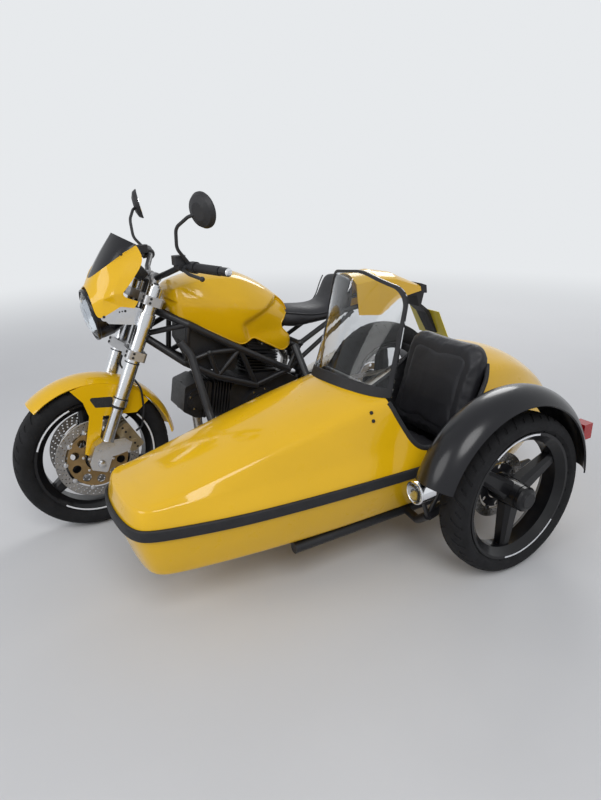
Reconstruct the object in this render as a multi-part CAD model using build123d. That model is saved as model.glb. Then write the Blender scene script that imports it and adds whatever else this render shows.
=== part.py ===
from build123d import *
from math import cos, pi, radians, sin
import os

# Motorcycle with its sidecar on the left, standing on its three wheels.
# X is forward, Y is left and Z is up, in millimetres. The pieces are drawn from the point on the
# ground below the rear axle, in the motorcycle's middle plane, and are set on the middle of the
# whole outfit's footprint at the end.

# Wheels and steering geometry
wheelbase = 1430
front_tyre_radius = 298
rear_tyre_radius = 315
sidecar_tyre_radius = 288
rim_radius = 216
flange_height = 15
rim_edge = 5
rake_angle = 24
trail = 104
sidecar_wheel_x = 286
sidecar_wheel_y = 1091
front_tyre_half = 60
rear_tyre_half = 85
sidecar_tyre_half = 60
front_rim_half = 50
rear_rim_half = 76
sidecar_rim_half = 50
hub_radius = 46
axle_radius = 12.5
spoke_count = 3

# Fits between neighbours
fit = 0.1
seat_gap = 0.3
pin_gap = 0.4

# Front fork
fork_half_track = 104
fork_outer_radius = 27
stanchion_radius = 21.5
foot_top = 91
fork_seal = 235
lower_yoke_height = 438
top_yoke_height = 650
bracket_drop = 74
yoke_thickness = 34
fork_stand = 36
steer_limit = 26
steer_room = 6
axle_bore = 7
stem_radius = 15
hose_radius = 4
pin_radius = 7.5
head_tube_radius = 28

# Brakes
front_disc_radius = 160
front_disc_inner = 124
disc_thickness = 5
front_disc_y = 58
rear_disc_radius = 122
rear_disc_y = -92
sidecar_disc_radius = 120

# Final drive
chain_pitch = 15.875
rear_teeth = 41
front_teeth = 15
chain_line = 101
chain_width = 18
chain_half_height = 7.5
front_sprocket_x = 600
front_sprocket_z = 385

# Engine
crank_x = 740
crank_z = 412
front_cylinder_tilt = 10
fin_count = 7
fin_pitch = 13
fin_thickness = 4
barrel_start = 125
case_half_width = 86

# Frame tubes
frame_half_width = 135
main_tube_radius = 15
brace_radius = 11

# Swingarm
pivot_x = 515
pivot_z = 395
arm_inner = 118
arm_outer = 146

# Sidecar body
sidecar_y = 660
hull_wall = 4
hull_bottom = 200
belt_height = 382
trim_height = 34
trim_proud = 7
screen_thickness = 4
screen_y = 646
screen_half_width = 214
screen_top = 1010
rail_radius = 19

front_axle = Vector(wheelbase, 0, front_tyre_radius)
rear_axle = Vector(0, 0, rear_tyre_radius)
sidecar_axle = Vector(sidecar_wheel_x, sidecar_wheel_y, sidecar_tyre_radius)
sin_rake = sin(radians(rake_angle))
cos_rake = cos(radians(rake_angle))
steer_up = Vector(-sin_rake, 0, cos_rake)
steer_forward = Vector(cos_rake, 0, sin_rake)
steer_ground = Vector(wheelbase + trail, 0, 0)
fork_top = top_yoke_height + yoke_thickness / 2 + fork_stand
fork_offset = (wheelbase - steer_ground.X) * cos_rake + front_tyre_radius * sin_rake
fork_plane = Plane(origin=front_axle, x_dir=steer_forward, z_dir=steer_up)


# Shape helpers

def rod(start, end, radius):
    start = Vector(start)
    way = Vector(end) - start
    return Solid.make_cylinder(radius, way.length, Plane(origin=start, z_dir=way))


def bar_y(x, z, radius, low, high):
    return rod((x, low, z), (x, high, z), radius)


def tube(points, bends, radius):
    path = FilletPolyline(*points, radius=bends)
    ring = Plane(origin=path @ 0, z_dir=path % 0) * Circle(radius)
    return sweep(ring, path=path)


def outline(points, bends=None):
    if bends:
        return make_face(FilletPolyline(*points, radius=bends, close=True))
    return make_face(Polyline(*points, close=True))


def side_plate(points, low, high, bends=None):
    face = outline([(x, low, z) for x, z in points], bends)
    return extrude(face, amount=high - low, dir=(0, 1, 0))


def plan_plate(points, low, high, bends=None):
    face = outline([(x, y, low) for x, y in points], bends)
    return extrude(face, amount=high - low, dir=(0, 0, 1))


def turned(profile, centre):
    face = Location(centre) * outline([(r, y, 0) for r, y in profile])
    return revolve(face, Axis(centre, (0, 1, 0)))


def grouped(*pieces):
    """One node from solids that stay apart."""
    solids = [solid for piece in pieces for solid in piece.solids()]
    return solids[0] if len(solids) == 1 else Compound(solids)


def both_sides(piece):
    return grouped(piece, mirror(piece, about=Plane.XZ))


def right_of(piece):
    return mirror(piece, about=Plane.XZ)


def joined(*pieces):
    whole = pieces[0]
    for piece in pieces[1:]:
        whole = whole + piece
    return whole


def without(piece, *cutters):
    for cutter in cutters:
        piece = piece - cutter
    return piece


def on_fork(height, forward=0, y=0):
    return front_axle + steer_up * height + steer_forward * forward + Vector(0, y, 0)


def on_steering_axis(height, forward=0, y=0):
    return on_fork(height, forward - fork_offset, y)


# Wheels

def tyre(centre, radius, half, rim_half):
    wall = radius - rim_radius
    bead = rim_half - rim_edge - 4.2
    side = [
        (rim_radius + fit, bead),
        (rim_radius + flange_height + 1, rim_half - rim_edge - fit),
        (radius - 0.52 * wall, half),
        (radius - 0.2 * wall, 0.84 * half),
        (radius - 0.04 * wall, 0.42 * half),
        (radius, 0.1 * half),
    ]
    other = [(r, -y) for r, y in reversed(side)]
    return turned(side + other, centre)


def wheel(centre, rim_half, hub_low, hub_high, first_spoke, spoke_depth):
    flange = rim_radius + flange_height
    well = rim_radius - 12
    inner = well - 7
    half_profile = [
        (flange - 10, rim_half),
        (flange, rim_half),
        (flange, rim_half - rim_edge),
        (rim_radius, rim_half - rim_edge - 4),
        (rim_radius, rim_half - rim_edge - 20),
        (well, rim_half - rim_edge - 27),
    ]
    mirrored = [(r, -y) for r, y in reversed(half_profile)]
    inside = [(inner, 24 - rim_half), (inner, rim_half - 24)]
    body = turned(half_profile + mirrored + inside, centre)
    hub = bar_y(centre.X, centre.Z, hub_radius, centre.Y + hub_low, centre.Y + hub_high)
    spoke = spoke_beam(inner + 4, spoke_depth)
    for number in range(spoke_count):
        turn = first_spoke + number * 360 / spoke_count
        body = body + Location(centre) * Rotation(0, -turn, 0) * spoke
    bore = bar_y(centre.X, centre.Z, axle_radius + pin_gap, centre.Y - 200, centre.Y + 200)
    return body + hub - bore


def spoke_beam(reach, depth):
    rows = [(hub_radius - 12, 34, depth + 4), (reach, 22, depth - 4)]
    rings = []
    for radius, wide, deep in rows:
        corner = 0.55
        points = [
            (radius, deep, corner * wide), (radius, corner * deep, wide),
            (radius, -corner * deep, wide), (radius, -deep, corner * wide),
            (radius, -deep, -corner * wide), (radius, -corner * deep, -wide),
            (radius, corner * deep, -wide), (radius, deep, -corner * wide),
        ]
        rings.append(outline(points))
    return loft(rings, ruled=True)


def brake_disc(centre, y, outer, inner, arms):
    low = y - disc_thickness / 2
    high = y + disc_thickness / 2
    band = bar_y(centre.X, centre.Z, outer, low, high)
    band = band - bar_y(centre.X, centre.Z, inner, low, high)
    collar = bar_y(centre.X, centre.Z, hub_radius + 16, low, high)
    whole = band + collar
    arm = side_plate([(hub_radius + 10, -9), (inner + 2, -6), (inner + 2, 6), (hub_radius + 10, 9)],
                     low - centre.Y, high - centre.Y)
    for number in range(arms):
        whole = whole + Location(centre) * Rotation(0, number * 360 / arms, 0) * arm
    return whole - bar_y(centre.X, centre.Z, hub_radius + fit, low, high)


front_hub_reach = 62
rear_hub_left = 97
rear_hub_right = -96
sidecar_hub_inner = -62
sidecar_hub_outer = 52

front_tyre = tyre(front_axle, front_tyre_radius, front_tyre_half, front_rim_half)
front_rim = wheel(front_axle, front_rim_half, -front_hub_reach, front_hub_reach, -35, 24)
front_discs = both_sides(brake_disc(front_axle, front_disc_y, front_disc_radius, front_disc_inner, 10))
rear_tyre = tyre(rear_axle, rear_tyre_radius, rear_tyre_half, rear_rim_half)
rear_rim = wheel(rear_axle, rear_rim_half, rear_hub_right, rear_hub_left, 90, 34)
rear_disc = brake_disc(rear_axle, rear_disc_y, rear_disc_radius, 90, 6)
sidecar_tyre = tyre(sidecar_axle, sidecar_tyre_radius, sidecar_tyre_half, sidecar_rim_half)
sidecar_rim = wheel(sidecar_axle, sidecar_rim_half, sidecar_hub_inner, sidecar_hub_outer, 35, 26)
sidecar_disc_y = sidecar_wheel_y - 56
sidecar_disc = brake_disc(sidecar_axle, sidecar_disc_y, sidecar_disc_radius, 88, 6)
hub_cap_profile = [(0, 82), (26, 82), (30, 78), (40, 74), (44, 66), (44, sidecar_hub_outer),
                   (0, sidecar_hub_outer)]
sidecar_rim = sidecar_rim + turned(hub_cap_profile, sidecar_axle)

# Rear sprocket and chain

def pitch_radius(teeth):
    return chain_pitch / (2 * sin(pi / teeth))


def sprocket(centre, teeth, low, high, gap):
    tip = pitch_radius(teeth) - chain_half_height - gap
    root = tip - 6
    points = []
    for number in range(teeth):
        for share, radius in ((0.0, root), (0.3, root), (0.55, tip), (0.75, tip)):
            angle = 2 * pi * (number + share) / teeth
            points.append((centre.X + radius * cos(angle), centre.Z + radius * sin(angle)))
    return side_plate(points, low, high)


def chain_loop():
    big = pitch_radius(rear_teeth)
    small = pitch_radius(front_teeth)
    front = Vector(front_sprocket_x, 0, front_sprocket_z)
    span = front - rear_axle
    distance = span.length
    slope = (1 / distance) * span
    lean = (big - small) / distance
    run = distance * (1 - lean * lean) ** 0.5
    # The upper run leaves the rear sprocket square to this outward direction.
    side = Vector(-slope.Z, 0, slope.X)
    rise = (1 - lean * lean) ** 0.5
    up_out = slope * lean + side * rise
    down_out = slope * lean - side * rise
    wrap_front = 2 * (pi / 2 - lean)
    wrap_rear = 2 * pi - wrap_front
    length = 2 * run + small * wrap_front + big * wrap_rear
    links = round(length / chain_pitch)

    def place(distance_along):
        s = distance_along % length
        if s < run:
            begin = rear_axle + up_out * big
            end = front + up_out * small
            return begin + (end - begin) * (s / run), up_out
        s -= run
        if s < small * wrap_front:
            out = up_out.rotate(Axis.Y, s / small * 180 / pi)
            return front + out * small, out
        s -= small * wrap_front
        if s < run:
            begin = front + down_out * small
            end = rear_axle + down_out * big
            return begin + (end - begin) * (s / run), down_out
        s -= run
        out = down_out.rotate(Axis.Y, s / big * 180 / pi)
        return rear_axle + out * big, out

    outer = []
    inner = []
    for link in range(links):
        for share, height in ((0.15, 1.0), (0.5, 0.72), (0.85, 1.0)):
            point, out = place((link + share) * length / links)
            outer.append(point + out * chain_half_height * height)
            inner.append(point - out * chain_half_height * height)
    return [(p.X, p.Z) for p in outer], [(p.X, p.Z) for p in inner]


chain_outer, chain_inner = chain_loop()
chain_low = chain_line - chain_width / 2
chain_high = chain_line + chain_width / 2
drive_chain = side_plate(chain_outer, chain_low, chain_high)
drive_chain = drive_chain - side_plate(chain_inner, chain_low, chain_high)
rear_sprocket = without(sprocket(rear_axle, rear_teeth, chain_line - 3.5, chain_line + 3.5, 1.5),
                        bar_y(0, rear_tyre_radius, axle_radius + 8, 0, 200))
front_sprocket = sprocket(Vector(front_sprocket_x, 0, front_sprocket_z), front_teeth,
                          case_half_width - 1, chain_line + 3.5, seat_gap)

# Front fork, with the axle across its feet

foot_width = 44
foot_inner = fork_half_track - foot_width / 2
front_axle_reach = fork_half_track + 28
front_axle_rod = bar_y(front_axle.X, front_axle.Z, axle_radius, -front_axle_reach, front_axle_reach)
axle_spacer = bar_y(front_axle.X, front_axle.Z, 19, front_hub_reach + 1, foot_inner - fit)
axle_spacer = axle_spacer - bar_y(front_axle.X, front_axle.Z, axle_radius - 1, 0, 200)
front_axle_node = front_axle_rod + axle_spacer + right_of(axle_spacer)
front_axle_node = front_axle_node - bar_y(front_axle.X, front_axle.Z, axle_bore, -200, 200)

on_base = (Align.CENTER, Align.CENTER, Align.MIN)
fork_local = fork_plane.location
left_leg = fork_local * Pos(0, fork_half_track, 0)
fork_outer = Cylinder(fork_outer_radius, fork_top - fork_seal, align=on_base)
fork_outer = left_leg * Pos(0, 0, fork_seal) * fork_outer
fork_collar = left_leg * Pos(0, 0, fork_seal) * Cylinder(fork_outer_radius + 3.5, 26, align=on_base)
fork_cap = left_leg * Pos(0, 0, fork_top) * Cylinder(fork_outer_radius - 8, 8, align=on_base)
fork_tubes = both_sides(fork_outer + fork_collar + fork_cap)
stanchion = Cylinder(stanchion_radius, fork_seal - foot_top, align=on_base)
stanchion = left_leg * Pos(0, 0, foot_top) * stanchion
foot_points = [(30, -30), (46, -6), (46, 62), (stanchion_radius + 3, foot_top),
               (-stanchion_radius - 3, foot_top), (-30, 30), (-30, -30)]
foot_body = side_plate(foot_points, -foot_width / 2, foot_width / 2, bends=9)
caliper_far = front_disc_y + 32
caliper_lug = side_plate([(-20, 20), (-20, 96), (-62, 112), (-96, 100), (-96, 66), (-58, 40)],
                         caliper_far + seat_gap - fork_half_track, 0)
foot = left_leg * (foot_body + caliper_lug) + stanchion
foot = foot - bar_y(front_axle.X, front_axle.Z, axle_radius + fit, 0, 200)
fork_sliders = both_sides(foot)


def caliper_block(centre, disc_y, disc_outer, angle, length, depth, near, far, disc_gap):
    """A block that straddles a disc's rim, turned round the axle by the angle above forward."""
    block = Box(depth, far - near, length)
    block = fillet(block.edges().filter_by(Axis.Y), 12)
    block = Pos(disc_outer - depth / 2 + 12, (near + far) / 2, 0) * block
    slot = Box(depth + 20, disc_thickness + 2 * disc_gap, length + 10)
    slot = Pos(disc_outer + disc_gap - depth / 2 - 10, disc_y, 0) * slot
    return Location((centre.X, 0, centre.Z)) * Rotation(0, -angle, 0) * (block - slot)


front_caliper = caliper_block(front_axle, front_disc_y, front_disc_radius, 151, 120, 58,
                              front_disc_y - 20, caliper_far, 5)
front_caliper = front_caliper - foot
front_calipers = both_sides(front_caliper)

# Yokes, stem and handlebar

yoke_reach = fork_half_track + fork_outer_radius + 9


def yoke(height):
    back = -fork_offset - 24
    points = [(back, -30), (back, 30), (-36, yoke_reach), (38, yoke_reach), (34, 60),
              (14, 0), (34, -60), (38, -yoke_reach), (-36, -yoke_reach)]
    face = outline([(x, y, 0) for x, y in points], bends=12)
    plate = extrude(face, amount=yoke_thickness, dir=(0, 0, 1))
    leg_bore = Cylinder(fork_outer_radius + fit, 60)
    for side in (-1, 1):
        plate = plate - Pos(0, side * fork_half_track, yoke_thickness / 2) * leg_bore
    return fork_local * Pos(0, 0, height - yoke_thickness / 2) * plate


def yoke_space(height, room):
    """The space that a yoke sweeps past, with room all round it."""
    back = -fork_offset - 24 - room
    reach = yoke_reach + room
    face = outline([(back, -30, 0), (back, 30, 0), (-36 - room, reach, 0), (38 + room, reach, 0),
                    (38 + room, -reach, 0), (-36 - room, -reach, 0)])
    block = extrude(face, amount=yoke_thickness + 2 * room, dir=(0, 0, 1))
    return fork_local * Pos(0, 0, height - yoke_thickness / 2 - room) * block


stem_low = lower_yoke_height - yoke_thickness / 2
stem_high = top_yoke_height + yoke_thickness / 2
stem = rod(on_steering_axis(stem_low), on_steering_axis(stem_high + 10), stem_radius)
pin_bore = rod(on_steering_axis(stem_low - 5), on_steering_axis(stem_low + 30), pin_radius)
hose_points = [(1276, 78, 383), (1250, 78, 398), (1236, 84, 470), (1240, 92, 560), (1274, 62, 624),
               tuple(on_fork(stem_low + 4, -10, 62))]
brake_hose = tube(hose_points, [12, 60, 60, 30], hose_radius) - front_caliper
lower_yoke = joined(yoke(lower_yoke_height), stem, brake_hose, right_of(brake_hose)) - pin_bore
yoke_room = yoke_space(top_yoke_height, steer_room)
stem_room = rod(on_steering_axis(stem_low), on_steering_axis(stem_high + 60), stem_radius + fit)
top_yoke = yoke(top_yoke_height) - stem_room

head_low = lower_yoke_height + yoke_thickness / 2 + 6
head_high = top_yoke_height - yoke_thickness / 2 - 6
head_tube = rod(on_steering_axis(head_low), on_steering_axis(head_high), head_tube_radius)
head_bore = rod(on_steering_axis(head_low - 5), on_steering_axis(head_high + 5),
                stem_radius + pin_gap)

bar_radius = 11
bar_rise = 68
bar_clamp_z = stem_high + bar_rise
bar_middle = on_steering_axis(bar_clamp_z, 14)
bar_knee = (bar_middle.X - 20, 120, bar_middle.Z + 24)
grip_in = bar_middle + Vector(-70, 238, 55.5)
grip_out = bar_middle + Vector(-114, 398, 55.5)
grip_dir = (grip_out - grip_in).normalized()
bar_corner = tuple(grip_in - grip_dir * 50)
bar_end = tuple(grip_out + grip_dir * 12)
bar_points = [(x, -y, z) for x, y, z in (bar_end, bar_corner, bar_knee)]
bar_points += [(bar_middle.X, -48, bar_middle.Z), (bar_middle.X, 48, bar_middle.Z)]
bar_points += [bar_knee, bar_corner, bar_end]
handlebar = tube(bar_points, [40, 40, 40, 40, 40, 40], bar_radius)
riser_base = on_steering_axis(stem_high, 14)
riser = rod(riser_base + Vector(0, 36, 0), bar_middle + Vector(0, 36, 0), 17)
riser = riser + bar_y(bar_middle.X, bar_middle.Z, 20, 24, 48)
riser = riser - handlebar
top_yoke = top_yoke + riser + right_of(riser)

grip_start = grip_in + grip_dir * 34
grip = rod(grip_start, grip_out, 16.5) - rod(grip_in, bar_end, bar_radius + fit)
grips = both_sides(grip)
bar_weight = rod(Vector(bar_end) - grip_dir * 8, Vector(bar_end) + grip_dir * 30, 15)
handlebar = handlebar + bar_weight + right_of(bar_weight)

# Switch block, lever and fluid reservoir beside each grip

perch = grip_in + grip_dir * 6
switch_block = rod(perch + grip_dir * 2, perch + grip_dir * 27, 21)
lever_pivot = perch + Vector(34, -8, -4)
lever_tip = perch + Vector(24, 148, -20)
lever_points = [tuple(lever_pivot), tuple(perch + Vector(32, 56, -16)), tuple(lever_tip)]
lever = tube(lever_points, [90], 6) + Location(lever_tip + Vector(0, 4, 0)) * Sphere(9)
perch_arm = rod(perch - grip_dir * 14, lever_pivot, 12)
perch_ring = rod(perch - grip_dir * 22, perch + grip_dir * 3, 19)
reservoir = Location(perch + Vector(38, -24, 26)) * Box(46, 34, 32)
reservoir = fillet(reservoir.edges().filter_by(Axis.Z), 9)
master = rod(perch + Vector(44, -38, 6), perch + Vector(40, 0, 0), 10)
control = joined(switch_block, lever, perch_arm, perch_ring, reservoir, master)
control = control - rod(grip_in - grip_dir * 30, bar_end, bar_radius + fit) - grip
controls = both_sides(control)

# Mirrors: a round head on a curved stalk at each side

mirror_top = perch + Vector(-8, 116, 196)
stalk_steps = [(12, 4, 16), (56, 18, 70), (58, 32, 140), (28, 78, 176), (4, 104, 186)]
stalk = tube([tuple(perch + Vector(step)) for step in stalk_steps], [50, 40, 40], 6)
mirror_back = [(0, 0), (30, 0), (52, 9), (60, 22), (60, 27), (0, 27)]
mirror_face = Plane(origin=tuple(mirror_top), x_dir=(0, 1, 0), z_dir=(-0.93, -0.3, 0.18))
mirror_head = revolve(outline([(r, 0, h) for r, h in mirror_back]), Axis.Z)
mirror_head = mirror_face.location * Pos(0, 0, -20) * mirror_head
mirror_piece = (stalk - control) + mirror_head
mirrors = both_sides(mirror_piece)

# Headlight, its bracket plates, the small fairing and its screen

bracket_height = top_yoke_height - bracket_drop
front_datum = on_fork(bracket_height)


def ahead(x, y, z):
    """A place measured from the middle of the lamp brackets' clamps."""
    return front_datum + Vector(x, y, z)


def ahead_side(points):
    return [(front_datum.X + x, front_datum.Z + z) for x, z in points]


lamp_centre = ahead(156, 0, 26)
lamp_axis = Vector(0.985, 0, -0.174)
lamp_plane = Plane(origin=lamp_centre, x_dir=(0, 1, 0), z_dir=lamp_axis)
lamp_radius = 95
shell_profile = [(0, -112), (44, -110), (74, -84), (91, -40), (lamp_radius, 0), (lamp_radius, 20),
                 (lamp_radius - 6, 20), (lamp_radius - 6, 2), (86, -38), (70, -78), (42, -103), (0, -105)]
lens_profile = [(0, 44), (48, 39), (lamp_radius - 6 - fit, 21), (lamp_radius - 6 - fit, 12), (0, 12)]
headlight_shell = revolve(outline([(r, 0, h) for r, h in shell_profile]), Axis.Z)
headlight_shell = lamp_plane.location * headlight_shell
headlight_lens = revolve(outline([(r, 0, h) for r, h in lens_profile]), Axis.Z)
headlight_lens = lamp_plane.location * headlight_lens

bracket_points = [(20, -18), (134, 2), (156, 28), (140, 78), (100, 78), (54, 56), (10, 44)]
bracket_plate = side_plate(ahead_side(bracket_points), lamp_radius + 1, lamp_radius + 5, bends=8)
bracket_band = left_leg * Pos(0, 0, bracket_height) * Cylinder(fork_outer_radius + 5, 50)
lamp_boss = bar_y(lamp_centre.X - 12, lamp_centre.Z, 14, lamp_radius - 5, lamp_radius + 1)
leg_room = left_leg * Pos(0, 0, bracket_height) * Cylinder(fork_outer_radius + fit, 500)
lamp_bracket = joined(bracket_band - leg_room, bracket_plate - leg_room, lamp_boss)
lamp_bracket = (lamp_bracket - headlight_shell).solids().sort_by(SortBy.VOLUME)[-1]

fairing_side = [(204, 168), (202, 114), (170, 22), (150, 28), (94, 60), (26, 68), (28, 98),
                (70, 96), (-10, 202), (-18, 230), (4, 276), (94, 228)]
fairing_low = front_datum.Z - 4
fairing_shoulder = front_datum.Z + 186
fairing_rows = [
    # x ahead, half width low, half width high, crown above the datum
    (-16, 128, 118, 286),
    (94, 122, 108, 286),
    (200, 100, 84, 256),
]


def fairing_loft(inset):
    rings = []
    for step, low, high, crown in fairing_rows:
        x = front_datum.X + step
        left_low = (x, low - inset, fairing_low)
        left_high = (x, high - inset, fairing_shoulder)
        right_low = (x, inset - low, fairing_low)
        right_high = (x, inset - high, fairing_shoulder)
        wire = Wire([
            Line(right_low, left_low),
            Line(left_low, left_high),
            ThreePointArc(left_high, (x, 0, front_datum.Z + crown - inset), right_high),
            Line(right_high, right_low),
        ])
        rings.append(Face(wire))
    return loft(rings, ruled=True)


fairing_skin = fairing_loft(0) - Pos(-3, 0, 0) * fairing_loft(3)
fairing_cut = side_plate(ahead_side(fairing_side), -160, 160)
lamp_hole = rod(lamp_centre - lamp_axis * 60, lamp_centre + lamp_axis * 90, lamp_radius + 2)
nose_fairing = (fairing_skin & fairing_cut) - lamp_hole
boss_place = ahead(120, 0, 64)
fairing_boss = bar_y(boss_place.X, boss_place.Z, 7, lamp_radius + 5, 140)
fairing_boss = fairing_boss & (Pos(-3, 0, 0) * fairing_loft(3 + seat_gap))
lamp_brackets = both_sides(lamp_bracket + fairing_boss)

# Instruments in front of the top yoke

dial_plane = Plane(origin=tuple(ahead(14, 0, 161)), x_dir=(0, 1, 0), z_dir=(-0.75, 0, 0.66))
dial_profile = [(0, 0), (34, 0), (42, 18), (42, 40), (38, 44), (0, 44)]
dial = revolve(outline([(r, 0, h) for r, h in dial_profile]), Axis.Z)
dial_case = Pos(0, 0, 10) * Box(150, 50, 16)
instruments = dial_plane.location * joined(Pos(-46, 0, 0) * dial, Pos(46, 0, 0) * dial, dial_case)
dial_post_base = on_fork(stem_high + seat_gap, 2)
dial_post_top = on_fork(stem_high + 46, 2)
instruments = instruments + rod(dial_post_base, dial_post_top, 7) + rod(dial_post_top, dial_plane.origin, 7)
instruments = instruments + Location(dial_post_top) * Sphere(7)

# Front mudguard: a crowned arc with side arms to the fork feet

guard_half = 72
guard_wall = 4
guard_crown = 330
guard_edge = 306


def arc_guard(centre, crown, edge, half, wall, first, last):
    """A crowned strip bent round an axle from the first to the last angle above forward."""
    side = half - wall
    face = make_face([
        ThreePointArc((edge, -half), (crown, 0), (edge, half)),
        Line((edge, half), (edge - wall, side)),
        ThreePointArc((edge - wall, side), (crown - wall, 0), (edge - wall, -side)),
        Line((edge - wall, -side), (edge, -half)),
    ])
    face = Location(centre) * Rotation(0, -first, 0) * face
    return revolve(face, Axis(centre, (0, -1, 0)), revolution_arc=last - first)


front_guard = arc_guard(front_axle, guard_crown, guard_edge, guard_half, guard_wall, 49, 172)
arm_points = [(1497, 590), (1457, 537), (1442, 477), (1478, 330), (1456, 314), (1432, 330), (1400, 430),
              (1392, 470), (1262, 458), (1210, 500), (1300, 600), (1400, 615)]
arm_window = [(1436, 552), (1352, 541), (1285, 488), (1415, 508)]
guard_arm = side_plate(arm_points, guard_half - 4, guard_half)
guard_arm = guard_arm - side_plate(arm_window, 0, 200, bends=8)
guard_arm = guard_arm & bar_y(front_axle.X, front_axle.Z, guard_edge - 1, 0, 200)
for bolt_height in (10, 50):
    bolt = on_fork(bolt_height, 36)
    guard_arm = guard_arm + bar_y(bolt.X, bolt.Z, 8, guard_half - 2, foot_inner)
front_mudguard = front_guard + guard_arm + right_of(guard_arm)

# Trellis frame: each side is a truss of straight tubes

frame_points = {
    # name: x, y, z
    "head_top": (1152, 20, 850),
    "head_low": (1196, 20, 750),
    "upper_1": (1035, 112, 786),
    "upper_2": (832, frame_half_width, 660),
    "upper_3": (612, frame_half_width, 533),
    "lower_1": (1056, 100, 632),
    "lower_2": (930, 118, 556),
    "lower_3": (766, 128, 491),
    "middle": (960, 122, 662),
    "rear_top": (548, frame_half_width, 640),
}
frame_tubes = [
    # from, to, radius
    ("head_top", "upper_1", main_tube_radius),
    ("upper_1", "upper_2", main_tube_radius),
    ("upper_2", "upper_3", main_tube_radius),
    ("head_low", "lower_1", main_tube_radius),
    ("lower_1", "lower_2", main_tube_radius),
    ("lower_2", "lower_3", main_tube_radius),
    ("head_low", "upper_1", brace_radius),
    ("upper_1", "lower_1", brace_radius),
    ("lower_1", "middle", brace_radius),
    ("middle", "upper_2", brace_radius),
    ("middle", "lower_2", brace_radius),
    ("lower_2", "upper_2", brace_radius),
    ("upper_2", "lower_3", brace_radius),
    ("lower_3", "upper_3", brace_radius),
    ("upper_3", "rear_top", brace_radius),
]


def truss(points, tubes):
    whole = None
    for start, end, radius in tubes:
        piece = rod(points[start], points[end], radius)
        whole = piece if whole is None else whole + piece
    for name, place in points.items():
        whole = whole + Location(place) * Sphere(main_tube_radius)
    return whole


head_room = rod(on_steering_axis(head_low - 40), on_steering_axis(head_high + 40), head_tube_radius)
frame_left = truss(frame_points, frame_tubes) - head_room
frame_left = frame_left & Pos(0, 500, 0) * Box(4000, 1000, 4000)
frame_left = frame_left - Box(4000, 16, 4000)
frame_right = right_of(frame_left)
cross_rows = [
    # x, z, half length, radius
    (1035, 786, 112, 12),
    (548, 640, frame_half_width, 10),
]
frame_cross = None
for x, z, half, radius in cross_rows:
    piece = bar_y(x, z, radius, -half, half) - frame_left - frame_right
    frame_cross = piece if frame_cross is None else grouped(frame_cross, piece)
frame_head = grouped(head_tube - head_bore, frame_cross)

# Subframe behind the trellis

sub_top = (300, 96, 742)
sub_tail = (-60, 70, 780)
subframe_left = joined(
    rod((548, frame_half_width, 640), sub_top, 11),
    Location(sub_top) * Sphere(11),
    rod(sub_top, sub_tail, 11),
    rod((612, frame_half_width, 533), (250, 98, 736), 10),
)
subframe_left = subframe_left - frame_left - frame_cross
subframe_cross = rod((300, -96, 742), (300, 96, 742), 10) + rod((-40, -70, 778), (-40, 70, 778), 10)
subframe = subframe_left + right_of(subframe_left) + subframe_cross

# Engine cases

case_side = [(545, 300), (600, 250), (790, 232), (860, 262), (880, 340), (868, 470), (820, 530),
             (640, 520), (590, 500), (540, 470), (486, 430), (484, 366)]
engine_cases = side_plate(case_side, -case_half_width, case_half_width, bends=16)
cover_x = crank_x - 4
cover_z = crank_z - 20
left_cover = bar_y(cover_x, cover_z, 78, case_half_width, 112) + bar_y(cover_x, cover_z, 58, 100, 124)
sprocket_plate = side_plate([(front_sprocket_x, 345), (cover_x - 20, 330), (cover_x - 20, 430),
                             (front_sprocket_x, 425)], 113, 119)
sprocket_cover = bar_y(front_sprocket_x + 12, front_sprocket_z, 60, 113, 119) + sprocket_plate
clutch_x = crank_x - 40
clutch_z = crank_z - 10
right_cover = bar_y(clutch_x, clutch_z, 98, -118, -case_half_width)
right_cover = right_cover + bar_y(clutch_x, clutch_z, 74, -130, -100)
pivot_bore = bar_y(pivot_x, pivot_z, 14, -200, 200)
engine_cases = joined(engine_cases, left_cover, right_cover, sprocket_cover, front_sprocket) - pivot_bore


def cylinder_unit():
    """One finned barrel with its head, drawn along Z from the crank's centre."""
    core = Pos(0, 0, 90) * Cylinder(58, 236, align=on_base)
    fin_plan = [(-72, -86), (72, -86), (86, -66), (86, 66), (72, 86), (-72, 86), (-86, 66), (-86, -66)]
    fin = outline([(x, y, 0) for x, y in fin_plan])
    whole = core
    for number in range(fin_count):
        height = barrel_start + number * fin_pitch
        whole = whole + Pos(0, 0, height) * extrude(fin, amount=fin_thickness, dir=(0, 0, 1))
    head_base = barrel_start + fin_count * fin_pitch
    head_points = [(-74, head_base), (74, head_base), (80, head_base + 60), (52, head_base + 116),
                   (-52, head_base + 116), (-80, head_base + 60)]
    head = side_plate(head_points, -78, 78, bends=12)
    whole = whole + head
    for number in range(3):
        height = head_base + 14 + number * fin_pitch
        whole = whole + Pos(0, 0, height) * extrude(fin, amount=fin_thickness, dir=(0, 0, 1))
    cover = bar_y(0, head_base + 62, 46, 78, 92) + bar_y(0, head_base + 62, 30, 88, 98)
    return whole + cover


unit = cylinder_unit()
crank = Location((crank_x, 0, crank_z))
front_cylinder = crank * Rotation(0, 90 - front_cylinder_tilt, 0) * unit
rear_cylinder = crank * Rotation(0, -front_cylinder_tilt, 0) * unit
front_cylinder = front_cylinder - engine_cases
rear_cylinder = rear_cylinder - engine_cases
front_cylinder = front_cylinder - rear_cylinder

# Tank, seat and tail

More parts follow.
